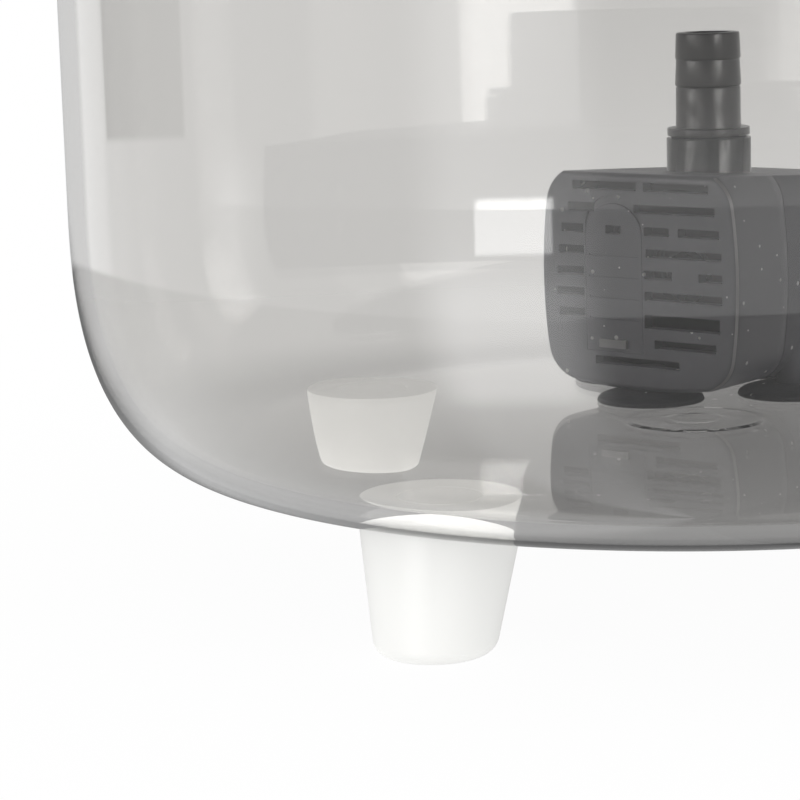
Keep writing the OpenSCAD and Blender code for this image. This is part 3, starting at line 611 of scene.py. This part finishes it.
# the window that shows a slot through the shutter, and the key that holds it
PEEP_Z = TOP_ROW - 2 * ROW_PITCH
PEEP_W, PEEP_LOW, PEEP_TOP = 3.0, PEEP_Z - SLOT_H / 2, PEEP_Z + SLOT_H / 2
KEY_W, KEY_LOW, KEY_TOP, KEY_PLAY = 3.0, SHUTTER_MID - 3.0, SHUTTER_MID + 3.0, 0.2
# the cover's front edge, its peg for the front cup and that peg's hole
COVER_EDGE, CUP_PEG_R, CUP_HOLE_R = 1.1, 2.4, 1.65


def shutter_ring(y, grow, rise):
    """The shutter's arched outline at y, a little larger and higher where asked."""
    r, mid = SHUTTER_W / 2 + grow, SHUTTER_TOP - SHUTTER_W / 2 + rise
    outline = [(r, SHUTTER_LOW - grow), *arc(0, mid, r, 0, 180, 40), (-r, SHUTTER_LOW - grow)]
    return [(-SHUTTER_LEFT + x, y, z) for x, z in outline]


def shutter_box(width, y0, y1, z0, z1):
    """Box on the shutter's middle line. Depths count from the pump's front face."""
    left, right = -SHUTTER_LEFT - width / 2, -SHUTTER_LEFT + width / 2
    return box((left, -PUMP_FRONT + y0, z0), (right, -PUMP_FRONT + y1, z1))


def slot_box(row, x0, x1, high):
    z = TOP_ROW - row * ROW_PITCH
    return box((x0, -PUMP_FRONT - 1, z - high / 2), (x1, -PUMP_FRONT + FACE_T + 1, z + high / 2))


def make_cover():
    """Barrel-outlined shell with its slots, the shutter's recess, the key's way and the front cup's peg."""
    rings = []
    for i in range(8):
        s, c = math.sin(math.radians(90 * i / 7)), math.cos(math.radians(90 * i / 7))
        rings.append(pump_ring(-PUMP_FRONT + COVER_EDGE * (1 - c), COVER_EDGE * (1 - s)))
    rings += [pump_ring(-PUMP_FRONT + (PUMP_FRONT - PUMP_SEAM) * k) for k in (0.3, 0.5, 0.7, 0.85)]
    rings += [pump_ring(-PUMP_SEAM - 0.2), pump_ring(-PUMP_SEAM, 0.18), pump_ring(-PUMP_SEAM, PUMP_SKIN),
              pump_ring(-PUMP_FRONT + FACE_T, PUMP_SKIN)]
    cover = to_object("intake_cover_shell", loft(rings))
    cup_at = (0, CROSS_Y - CUP_REACH)
    combine(cover, [rod(CUP_PEG_R, PUMP_LIFT + 1, PUMP_LIFT + 3.9, 48, cup_at)], "UNION")
    recess_ends = (-PUMP_FRONT - 1, -PUMP_FRONT + SHUTTER_T + 0.02)
    recess = [shutter_ring(y, 0.15, SHUTTER_TRAVEL) for y in recess_ends]
    key_way = (KEY_LOW - KEY_PLAY, KEY_TOP + SHUTTER_TRAVEL + KEY_PLAY)
    cuts = [slot_box(ROW_DROP[row], x0, x1, SLOT_H) for row, x0, x1 in GRILLE]
    cuts += [
        slot_box(*TALL_SLOT, TALL_SLOT_H),
        loft(recess),
        shutter_box(KEY_W + 2 * KEY_PLAY, 0, FACE_T + 1, *key_way),
        shutter_box(PEEP_W, 0, FACE_T + 1, PEEP_LOW, PEEP_TOP),
        rod(CUP_HOLE_R, PUMP_LIFT - 1, PUMP_LIFT + 2.9, 48, cup_at),
        rod(SOCKET_R + 0.12, OUTLET_TOP - 4, OUTLET_TOP + 4, 96),
    ]
    combine(cover, cuts, "DIFFERENCE")
    soften(cover, 0.1, 50)
    move_in_mm(cover, AT_PUMP)
    dress(cover, CHARCOAL, "cover", "charcoal_plastic", "intake_cover")
    paint_front_edge_highlight(cover)


def paint_front_edge_highlight(cover):
    """Paints a highlight on the rounded edge at the front's right side with a paler plastic."""
    cover.data.materials.append(EDGE_HIGHLIGHT)
    to_local = AT_PUMP.inverted()
    for face in cover.data.polygons:
        middle, way = to_local @ (face.center / MM), to_local.to_3x3() @ face.normal
        if middle.y < -PUMP_FRONT + COVER_EDGE and -0.78 < way.y < -0.45 and way.x > 0.25:
            face.material_index = 1


make_cover()


def make_shutter():
    """Arched plate with a grip, four fine grooves and a small window, held by a headed key in the face."""
    front = -PUMP_FRONT
    depths = ((0, 0.05), (0.12, 0.13), (SHUTTER_T, 0.13))
    plate = to_object("flow_shutter", loft([shutter_ring(front + y, grow, 0) for y, grow in depths]))
    grip = shutter_box(5.2, -0.7, 0.5, SHUTTER_LOW + 0.6, SHUTTER_LOW + 2.0)
    key = shutter_box(KEY_W, 0.3, FACE_T + 0.6, KEY_LOW, KEY_TOP)
    key_head = shutter_box(KEY_W + 2, FACE_T + 0.15, FACE_T + 1.35, KEY_LOW, KEY_TOP)
    combine(plate, [grip, key, key_head], "UNION")
    rows = [TOP_ROW - i * ROW_PITCH for i in range(3, 7)]
    grooves = [shutter_box(SHUTTER_W - 1.2, -1, 0.2, z - 0.8, z - 0.5) for z in rows]
    window = shutter_box(PEEP_W, -1, 2, PEEP_LOW, PEEP_TOP)
    combine(plate, [*grooves, window], "DIFFERENCE")
    smooth(plate, 30)
    move_in_mm(plate, AT_PUMP)
    dress(plate, CHARCOAL, "shutter", "charcoal_plastic", "flow_slider")
    # the faces standing out in front of the plate, its grip, get the paler plastic as a painted glint
    plate.data.materials.append(EDGE_HIGHLIGHT)
    for face in plate.data.polygons:
        if (AT_PUMP.inverted() @ (face.center / MM)).y < front - 0.2:
            face.material_index = 1


make_shutter()


def make_nozzle():
    """Pipe with two tapered barbs over a plain neck, standing by its flange on the socket."""
    seat_len, flange_t, neck_len, barb_len, round_r = 6.85, 1.3, 6.7, 4.35, 0.2
    flange_z = SOCKET_TOP + 0.4
    neck_z = flange_z + flange_t
    barb_1 = neck_z + neck_len
    barb_2, tip = barb_1 + barb_len, barb_1 + 2 * barb_len
    seat_r, flange_r = BARB_R - 0.2, SOCKET_R - 0.15 - round_r

    def by_barb(z, *points):
        """Points given by how far they are inside the barbs' radius and above a height."""
        return [(BARB_R - inside, z + up) for inside, up in points]

    foot_z = flange_z - seat_len
    seat = [(BORE_R, foot_z), (seat_r - 0.3, foot_z), (seat_r, foot_z + 0.6), (seat_r, flange_z)]
    flange = arc(flange_r, flange_z + round_r, round_r, -90, 0, 5)
    flange += arc(flange_r, neck_z - round_r, round_r, 0, 90, 5)
    neck = by_barb(neck_z, (-0.15, 0), (0.02, 0.06), (0.06, 0.2), (0.1, 3.3))
    lower = by_barb(barb_1, (0.12, -0.3), (0.2, -0.12), (0.27, 0), (0.2, 0.08), (0.05, 0.15), (0, 0.3))
    upper = by_barb(barb_2, (0.2, -0.15), (0.24, 0), (0.14, 0.1), (0.06, 0.3))
    end = by_barb(tip, (0.2, -0.4)) + arc(BARB_R - 0.5, tip - 0.28, 0.28, 0, 90, 5)
    bore = [(BORE_R + 0.35, tip), (BORE_R + 0.1, tip - 0.1), (BORE_R, tip - 0.4)]
    piece = to_object("nozzle_pipe", lathe(seat + flange + neck + lower + upper + end + bore, 128), AT_PUMP)
    smooth(piece, 50)
    dress(piece, NOZZLE_BLACK, "tank_and_pump", "black_gloss_plastic", "nozzle")


make_nozzle()


def cup(name, x, y, body):
    """Suction cup: a thin lip, a dome hollow underneath, and a stem up into the pump."""
    lip, dome_top, stem_r, stem_h, low = 0.45, PUMP_LIFT - 0.02, 1.6, 2.7, DISC_H + 0.02
    stem_top = dome_top + stem_h
    dome = []
    for t in range(6, 91, 6):
        s, c = math.sin(math.radians(t)), math.cos(math.radians(t))
        dome.append((stem_r + 1.2 + (CUP_R - stem_r - 1.3) * c, low + lip + (dome_top - low - lip) * s))
    rim_steps = ((0.5, 0), (0.12, 0.06), (0, lip / 2), (0.1, lip - 0.04))
    rim = [(CUP_R - inside, low + up) for inside, up in rim_steps]
    stem = [(stem_r, dome_top), (stem_r, stem_top - 0.5), (stem_r - 0.5, stem_top), (0, stem_top)]
    hollow = [(0, dome_top * 0.6), (CUP_R * 0.5, dome_top * 0.5)]
    place = AT_PUMP @ Matrix.Translation((x, y, 0))
    piece = to_object(name + "_rubber", lathe(rim + dome + stem + hollow, 96), place)
    smooth(piece, 40)
    dress(piece, RUBBER, body, "black_rubber", name)


cup("cup_front", 0, CROSS_Y - CUP_REACH, "cover")
cup("cup_left", -CUP_REACH, CROSS_Y, "tank_and_pump")
cup("cup_right", CUP_REACH, CROSS_Y, "tank_and_pump")
cup("cup_rear", 0, CROSS_Y + CUP_REACH, "tank_and_pump")

# ---------------- pieces from the CAD's own shapes

# name, CAD node, material, body, slot, width of the rounded edges
SHELLS = [
    ("pump_housing_shell", "pump_housing", CHARCOAL, "tank_and_pump", "charcoal_plastic", 0.16),
    ("rear_cover_shell", "rear_cover", CHARCOAL, "tank_and_pump", "charcoal_plastic", 0.2),
    ("lid_tray_shell", "lid_tray", GLOSS_WHITE, "tray", "white_gloss_plastic", 0.3),
    ("filter_grate_plate", "filter_grate", GLOSS_WHITE, "filter", "white_gloss_plastic", 0.2),
    ("filter_basket_shell", "filter_basket", GLOSS_WHITE, "filter", "white_gloss_plastic", 0.15),
    ("filter_pad_foam", "filter_pad", FOAM, "filter", "filter_foam", 0.5),
    ("swivel_spout_tube", "spout", GLOSS_WHITE, "swivel_spout", "white_gloss_plastic", 0.25),
    ("riser_tube", "riser", CLEAR_PIPE, "riser_pipe", "clear_pipe_plastic", 0.0),
]
for name, node, material, body, slot, width in SHELLS:
    dress(from_node(name, node, width), material, body, slot, node)


def blacken_socket(housing):
    """Gives the outlet's socket on top of the housing its blacker plastic."""
    housing.data.materials.append(SOCKET_BLACK)
    for face in housing.data.polygons:
        middle = face.center / MM - AT_OUTLET
        in_height = OUTLET_TOP - 0.1 < middle.z < SOCKET_TOP + 1
        if in_height and math.hypot(middle.x, middle.y) < SOCKET_R + 0.05:
            face.material_index = 1


blacken_socket(bpy.data.objects["pump_housing_shell"])

# nodes that stay as they are and only get a material
KEPT = {
    "volute_cover": INNER_BLACK, "nozzle_seal": RUBBER, "cable_gland": RUBBER, "spout_seal": RUBBER,
    "bush_front": RUBBER, "bush_rear": RUBBER, "impeller": ACETAL, "rotor_magnet": FERRITE,
    "rotor_shaft": SHAFT, "coil_bobbin": BOBBIN,
}
for node, material in KEPT.items():
    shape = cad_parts[node]
    shape.data.materials.clear()
    shape.data.materials.append(material)

# ---------------- parts that repeat

FLOAT, COUNT, MATERIAL = "NodeSocketFloat", "NodeSocketInt", "NodeSocketMaterial"


def tree_of(name, inputs):
    """A Geometry Nodes tree with named inputs. Returns the tree and each input's identifier."""
    tree = bpy.data.node_groups.new(name, "GeometryNodeTree")
    for way in ("OUTPUT", "INPUT"):
        tree.interface.new_socket(name="Geometry", in_out=way, socket_type="NodeSocketGeometry")
    keys = {}
    for label, kind in inputs.items():
        keys[label] = tree.interface.new_socket(name=label, in_out="INPUT", socket_type=kind).identifier
    return tree, keys


def grown(name, start, tree, keys, values, matrix):
    """Runs a tree on a starting mesh made in millimetres, and keeps the result as a plain mesh in place."""
    piece = to_object(name, start)
    mod = piece.modifiers.new("tree", "NODES")
    mod.node_group = tree
    for label, value in values.items():
        mod[keys[label]] = value
    settle(piece)
    move_in_mm(piece, matrix)
    smooth(piece, 35)
    return piece


def one_point():
    """The least a tree can start from, for one that makes all of its shape itself."""
    bm = bmesh.new()
    bm.verts.new((0, 0, 0))
    return bm


def sheet_stack_tree():
    """Punched sheets laid on each other, with the round passage of the rotor's well cut through the stack."""
    tree, keys = tree_of("sheet_stack", {"Count": COUNT, "Pitch": FLOAT, "Sheet": FLOAT, "Well Radius": FLOAT,
                                         "Well Length": FLOAT, "Well Height": FLOAT, "Material": MATERIAL})
    parts = add_nodes(
        tree, thick="ExtrudeMesh", flip="FlipFaces", join="JoinGeometry", merge="MergeByDistance",
        step="ShaderNodeCombineXYZ", line="MeshLine", place="InstanceOnPoints", real="RealizeInstances",
        well="MeshCylinder", turn="Transform", at="ShaderNodeCombineXYZ", cut="MeshBoolean",
        paint="SetMaterial", **GROUP_ENDS)
    parts["cut"].operation = "DIFFERENCE"
    setup(parts["thick"], {"Individual": False})
    setup(parts["merge"], {"Distance": 1e-6})
    setup(parts["well"], {"Vertices": 64})
    setup(parts["turn"], {"Rotation": (math.radians(90), 0, 0)})
    wire(tree, parts, """
        inp.Geometry > thick.Mesh
        inp.Sheet > thick.Offset Scale
        inp.Geometry > flip.Mesh
        thick.Mesh > join.Geometry
        flip.Mesh > join.Geometry
        join.Geometry > merge.Geometry
        inp.Pitch > step.Z
        inp.Count > line.Count
        step.Vector > line.Offset
        line.Mesh > place.Points
        merge.Geometry > place.Instance
        place.Instances > real.Geometry
        inp.Well Radius > well.Radius
        inp.Well Length > well.Depth
        inp.Well Height > at.Z
        well.Mesh > turn.Geometry
        at.Vector > turn.Translation
        real.Geometry > cut.Mesh 1
        turn.Geometry > cut.Mesh 2
        cut.Mesh > paint.Geometry
        inp.Material > paint.Material
        paint.Geometry > out.Geometry
    """)
    return tree, keys


def make_core():
    """The stator's iron: an outline of two legs and a yoke, stacked up from thin sheets."""
    sheets, pitch, sheet_t = 13, 1.0, 0.93
    tip, leg, low, high = LEG_IN - 2.4, LEG_IN + LEG_T, MOTOR_FRONT + 0.6, YOKE_FRONT + YOKE_T
    right = [(tip, low), (leg, low), (leg, high)]
    inner = [(LEG_IN, YOKE_FRONT), (LEG_IN, WELL_BACK), (tip, WELL_BACK)]
    outline = right + [(-x, y) for x, y in reversed(right)] + [(-x, y) for x, y in reversed(inner)] + inner
    bm = bmesh.new()
    bm.faces.new([bm.verts.new((x, y, PUMP_MID - CORE_HALF_H)) for x, y in outline])
    sizes = {"Count": sheets, "Pitch": pitch * MM, "Sheet": sheet_t * MM, "Material": STEEL,
             "Well Radius": (WELL_OUT_R + 0.2) * MM, "Well Length": 2 * (WELL_BACK + 1) * MM,
             "Well Height": PUMP_MID * MM}
    core = grown("stator_sheets", bm, *sheet_stack_tree(), sizes, AT_PUMP)
    dress(core, STEEL, "tank_and_pump", "core_steel", "stator_core")


make_core()


def winding_tree():
    """Turns of round wire, side by side on a square former."""
    tree, keys = tree_of("winding", {"Turns": COUNT, "Pitch": FLOAT, "Wire Radius": FLOAT, "Width": FLOAT,
                                     "Height": FLOAT, "Corner": FLOAT, "Material": MATERIAL})
    parts = add_nodes(
        tree, former="CurvePrimitiveQuadrilateral", rounded="FilletCurve", wire="CurvePrimitiveCircle",
        pipe="CurveToMesh", turn="Transform", step="ShaderNodeCombineXYZ", line="MeshLine",
        place="InstanceOnPoints", real="RealizeInstances", paint="SetMaterial", **GROUP_ENDS)
    parts["rounded"].mode = "POLY"
    setup(parts["rounded"], {"Count": 4})
    setup(parts["wire"], {"Resolution": 8})
    setup(parts["turn"], {"Rotation": (math.radians(90), 0, math.radians(90))})
    wire(tree, parts, """
        inp.Width > former.Width
        inp.Height > former.Height
        former.Curve > rounded.Curve
        inp.Corner > rounded.Radius
        inp.Wire Radius > wire.Radius
        rounded.Curve > pipe.Curve
        wire.Curve > pipe.Profile Curve
        pipe.Mesh > turn.Geometry
        inp.Pitch > step.X
        inp.Turns > line.Count
        step.Vector > line.Offset
        line.Mesh > place.Points
        turn.Geometry > place.Instance
        place.Instances > real.Geometry
        real.Geometry > paint.Geometry
        inp.Material > paint.Material
        paint.Geometry > out.Geometry
    """)
    return tree, keys


def make_winding():
    """The coil round the yoke, a little clear of the iron."""
    wire_r, turns, clear, corner = 0.29, 23, 1.02, 0.7
    start = -(turns - 1) * wire_r
    place = AT_PUMP @ Matrix.Translation((start, YOKE_FRONT + YOKE_T / 2, PUMP_MID))
    sizes = {"Turns": turns, "Pitch": 2 * wire_r * MM, "Wire Radius": wire_r * MM,
             "Width": (YOKE_T + 2 * clear) * MM, "Height": (2 * CORE_HALF_H + 2 * clear) * MM,
             "Corner": corner * MM, "Material": COPPER}
    coil = grown("winding_turns", one_point(), *winding_tree(), sizes, place)
    dress(coil, COPPER, "tank_and_pump", "copper_winding", "stator_coil")


make_winding()


def rib_ring_tree():
    """Slanted ribs set round an axis at equal angles."""
    tree, keys = tree_of("rib_ring", {"Count": COUNT, "Low Radius": FLOAT, "High Radius": FLOAT,
                                      "Height": FLOAT, "Rib Radius": FLOAT, "Material": MATERIAL})
    parts = add_nodes(
        tree, low="ShaderNodeCombineXYZ", high="ShaderNodeCombineXYZ", line="CurvePrimitiveLine",
        wire="CurvePrimitiveCircle", rib="CurveToMesh", points="Points", place="InstanceOnPoints",
        real="RealizeInstances", index="InputIndex", share="ShaderNodeMath", full="ShaderNodeMath",
        turn="ShaderNodeCombineXYZ", paint="SetMaterial", **GROUP_ENDS)
    parts["share"].operation, parts["full"].operation = "DIVIDE", "MULTIPLY"
    setup(parts["full"], {1: 2 * math.pi})
    setup(parts["wire"], {"Resolution": 8})
    setup(parts["rib"], {"Fill Caps": True})
    wire(tree, parts, """
        inp.Low Radius > low.X
        inp.High Radius > high.X
        inp.Height > high.Z
        low.Vector > line.Start
        high.Vector > line.End
        inp.Rib Radius > wire.Radius
        line.Curve > rib.Curve
        wire.Curve > rib.Profile Curve
        inp.Count > points.Count
        index.Index > share.0
        inp.Count > share.1
        share.0 > full.0
        full.0 > turn.Z
        points.Points > place.Points
        rib.Mesh > place.Instance
        turn.Vector > place.Rotation
        place.Instances > real.Geometry
        real.Geometry > paint.Geometry
        inp.Material > paint.Material
        paint.Geometry > out.Geometry
    """)
    return tree, keys


def make_knob_ribs():
    """Slanted grip ribs round the knob in the middle of the filter's grate."""
    sizes = {"Count": 20, "Low Radius": 4.16 * MM, "High Radius": 4.95 * MM, "Height": 3.9 * MM,
             "Rib Radius": 0.3 * MM, "Material": GLOSS_WHITE}
    place = Matrix.Translation((0, FILTER_Y, DISH_Z + 2.0))
    ribs = grown("filter_knob_ribs", one_point(), *rib_ring_tree(), sizes, place)
    dress(ribs, GLOSS_WHITE, "filter", "white_gloss_plastic")


make_knob_ribs()

# ---------------- floor, light and camera

# what clear plastic sees of the backdrop, where 1 is white, and of the floor right under the tank, darkened
# there as a painted shadow
BACKDROP, PAINTED_SHADOW_UNDER_TANK = 0.68, 0.29
FLOOR_R = 700


def make_floor():
    """Round table top that takes the object's shadow near it and fades to plain white further out. Seen
    through clear plastic it shows at the backdrop's level, darkened towards the middle as a painted shadow
    under the tank.
    """
    bm = bmesh.new()
    bmesh.ops.create_circle(bm, cap_ends=True, segments=96, radius=FLOOR_R)
    floor = to_object("studio_floor", bm)
    material, tree, parts = new_material(
        "studio_floor", coord="TexCoord", length="VectorMath", path="LightPath", fade="MapRange",
        dimmer="MapRange", shade="MapRange", glow="Emission", mix="MixShader")
    parts["length"].operation = "LENGTH"
    parts["fade"].interpolation_type = parts["shade"].interpolation_type = "SMOOTHSTEP"
    setup(parts["bsdf"], {"Base Color": (0.96, 0.96, 0.96, 1), "Roughness": 0.9, "Specular IOR Level": 0.0})
    # both fade by metres from the floor's middle
    setup(parts["fade"], {"From Min": 0.10, "From Max": 0.30, "To Min": 0.965})
    # seen through clear plastic, the floor darkens from the backdrop's level to a painted shadow right under
    # the tank
    setup(parts["shade"], {"From Min": 0.05, "From Max": 0.21, "To Min": PAINTED_SHADOW_UNDER_TANK, "To Max": BACKDROP})
    setup(parts["dimmer"], {"To Min": 1.0})
    wire(tree, parts, """
        coord.Object > length.0
        length.Value > fade.Value
        length.Value > shade.Value
        shade.Result > dimmer.To Max
        path.Is Transmission Ray > dimmer.Value
        dimmer.Result > glow.Strength
        fade.Result > mix.Fac
        bsdf.BSDF > mix.1
        glow.Emission > mix.2
        mix.Shader > out.Surface
    """)
    floor.data.materials.append(material)
    floor.visible_glossy = False


make_floor()


def area_light(name, place, aim, size, power):
    lamp = bpy.data.lights.new(name, "AREA")
    lamp.shape, lamp.energy = "RECTANGLE", power
    lamp.size, lamp.size_y = size
    light = bpy.data.objects.new(name, lamp)
    light.location = place
    light.rotation_mode = "QUATERNION"
    light.rotation_quaternion = (Vector(aim) - Vector(place)).to_track_quat("-Z", "Y")
    bpy.context.scene.collection.objects.link(light)


area_light("key_softbox", (-0.7, -0.9, 1.1), (0, 0, 0.06), (0.9, 0.9), 6.0)
area_light("side_softbox", (0.9, -0.5, 0.7), (0, 0, 0.06), (0.6, 0.9), 3.0)

# where the room's bench ends and its walls begin
BENCH_TOP = -0.0735
# lit patches of the room: from angle, to angle, softness, from height, to height, softness, strength
PANES = {
    "low pane": (30, 53, 0.8, 0.115, 0.37, 0.015, 8.0),
    "right pane": (29.5, 54, 0.8, BENCH_TOP, 0.1, 0.004, 2.6),
    "side box": (58, 90, 4, 0.5, 0.9, 0.05, 1.2),
    "left pane": (-32, -13.5, 0.5, BENCH_TOP, 0.1, 0.003, 0.45),
    "left pane, upper part": (-32, -13.5, 0.5, -0.052, 0.1, 0.018, 0.2),
    "pane on the bench": (-31.8, -18.4, 0.4, -0.1215, -0.1005, 0.0015, 6.0),
    "soft box": (-72, -42, 5, 0.06, 0.6, 0.04, 4.5),
}


def make_world():
    """White studio that gloss and clear plastic see as a room.

    The room has a pale bench, a dark front, window panes and a dim corner. Each direction is an angle round
    the object, 0 at the front and positive to the right, and the height of its unit vector.
    """
    world = bpy.data.worlds.new("studio")
    bpy.context.scene.world = world
    world.use_nodes = True
    tree = world.node_tree
    tree.nodes.clear()

    def calc(op, first, *others):
        """A number from sockets and plain numbers, taken in turn from left to right."""
        for other in others:
            node = tree.nodes.new("ShaderNodeMath")
            node.operation = op
            for entry, value in zip(node.inputs, (first, other)):
                if isinstance(value, (int, float)):
                    entry.default_value = value
                else:
                    tree.links.new(value, entry)
            first = node.outputs[0]
        return first

    def times(*values):
        return calc("MULTIPLY", *values)

    def plus(*values):
        return calc("ADD", *values)

    def less(*values):
        return calc("SUBTRACT", *values)

    def rise(value, middle, soft):
        """0 below the middle and 1 above it, with a soft step."""
        node = tree.nodes.new("ShaderNodeMapRange")
        node.interpolation_type = "SMOOTHSTEP"
        setup(node, {"From Min": middle - soft, "From Max": middle + soft})
        tree.links.new(value, node.inputs["Value"])
        return node.outputs["Result"]

    def band(value, low, high, soft):
        return times(rise(value, low, soft), less(1.0, rise(value, high, soft)))

    def turned(middle, soft):
        return rise(around, math.radians(middle), math.radians(soft))

    def sector(low, high, soft):
        return band(around, math.radians(low), math.radians(high), math.radians(soft))

    parts = add_nodes(
        tree, coord="TexCoord", split="SeparateXYZ", path="LightPath", out="OutputWorld",
        seen="Background", lit="Background", gloss="Background", rear="Background",
        pick_gloss="MixShader", pick_rear="MixShader", pick_seen="MixShader")
    wire(tree, parts, "coord.Generated > split.Vector")
    x, y, z = parts["split"].outputs
    around = calc("ARCTAN2", x, times(y, -1.0))

    far_wall = rise(z, -0.07, 0.06)
    dark_corner = times(sector(-121, -93, 0.8), rise(z, BENCH_TOP, 0.002), 0.95)
    dim_front = times(sector(-24, 23, 7), far_wall, 0.6)
    pale_bench = times(sector(-15, 40, 3), less(1.0, far_wall), 0.6)
    darker_side = times(sector(-178, -135, 2), rise(z, -0.22, 0.05), 0.4)
    pale_side = less(times(sector(-134, -122, 2), 0.3), darker_side)
    glow = times(sector(-86, -77, 4), band(z, -0.21, -0.085, 0.02), 0.7)
    room = plus(less(1.0, dark_corner, dim_front), pale_bench, plus(pale_side, glow))
    # the bench's edge lies lower at the front than at the back, and a little higher right of -14 degrees
    tilted = less(z, times(y, 0.06), times(turned(-14, 3), 0.0146))
    bench_edge = plus(0.35, times(rise(tilted, -0.178, 0.004), 0.65))

    front_left = times(sector(-40, -13.5, 6), plus(1.0, times(band(z, -0.5, -0.135, 0.05), 2.8)))
    far_left = plus(0.08, times(turned(-158, 12), 0.9))
    under = times(less(1.0, rise(z, -0.36, 0.12)), less(1.0, turned(-92, 25)), far_left)
    panes = plus(*[times(sector(a0, a1, soft), band(z, z0, z1, soft_z), strength)
                   for a0, a1, soft, z0, z1, soft_z, strength in PANES.values()])
    level = plus(times(room, bench_edge), panes, plus(front_left, under))
    tree.links.new(level, parts["gloss"].inputs["Strength"])

    for name, strength in (("seen", 1.0), ("lit", 0.85), ("gloss", 1.0), ("rear", BACKDROP)):
        setup(parts[name], {"Color": (1, 1, 1, 1), "Strength": strength})
    clear_ray = parts["path"].outputs["Is Transmission Ray"]
    shiny = calc("MAXIMUM", parts["path"].outputs["Is Glossy Ray"], clear_ray)
    tree.links.new(shiny, parts["pick_gloss"].inputs["Fac"])
    tree.links.new(times(clear_ray, rise(y, 0.0, 0.02)), parts["pick_rear"].inputs["Fac"])
    wire(tree, parts, """
        lit.Background > pick_gloss.1
        gloss.Background > pick_gloss.2
        pick_gloss.Shader > pick_rear.1
        rear.Background > pick_rear.2
        path.Is Camera Ray > pick_seen.Fac
        pick_rear.Shader > pick_seen.1
        seen.Background > pick_seen.2
        pick_seen.Shader > out.Surface
    """)


make_world()


def make_camera():
    """Near camera, a little above the table, looking slightly down past the tank's front edge."""
    # metres from the object and above the floor, focal length and picture width in pixels, sensor's width
    far, high, focal, picture_w, sensor = 0.42518707, 0.09923593, 2768.55338, 800, 36.0
    pitch, yaw, roll, round_object = 0.17061, -0.1076, -0.03004, math.radians(4.915)
    level = math.cos(pitch)
    turn = Matrix.Rotation(round_object, 3, "Z")
    ahead = turn @ Vector((math.sin(yaw) * level, math.cos(yaw) * level, -math.sin(pitch)))
    side = turn @ Vector((math.cos(yaw), -math.sin(yaw), 0))
    up = side.cross(ahead)
    rolled_side = math.cos(roll) * side + math.sin(roll) * up
    rolled_up = -math.sin(roll) * side + math.cos(roll) * up
    data = bpy.data.cameras.new("camera")
    data.sensor_width, data.lens = sensor, sensor * focal / picture_w
    data.clip_start, data.clip_end = 0.01, 20
    camera = bpy.data.objects.new("camera", data)
    matrix = Matrix((rolled_side, rolled_up, -ahead)).transposed().to_4x4()
    matrix.translation = turn @ Vector((0, -far, high))
    camera.matrix_world = matrix
    bpy.context.scene.collection.objects.link(camera)
    bpy.context.scene.camera = camera


make_camera()

scene = bpy.context.scene
scene.view_settings.view_transform = "Standard"
# the view through several clear walls needs many bounces
scene.cycles.max_bounces = 24
scene.cycles.transmission_bounces = 20
scene.cycles.glossy_bounces = 14
scene.cycles.transparent_max_bounces = 16
scene.cycles.caustics_reflective = False
scene.cycles.caustics_refractive = False
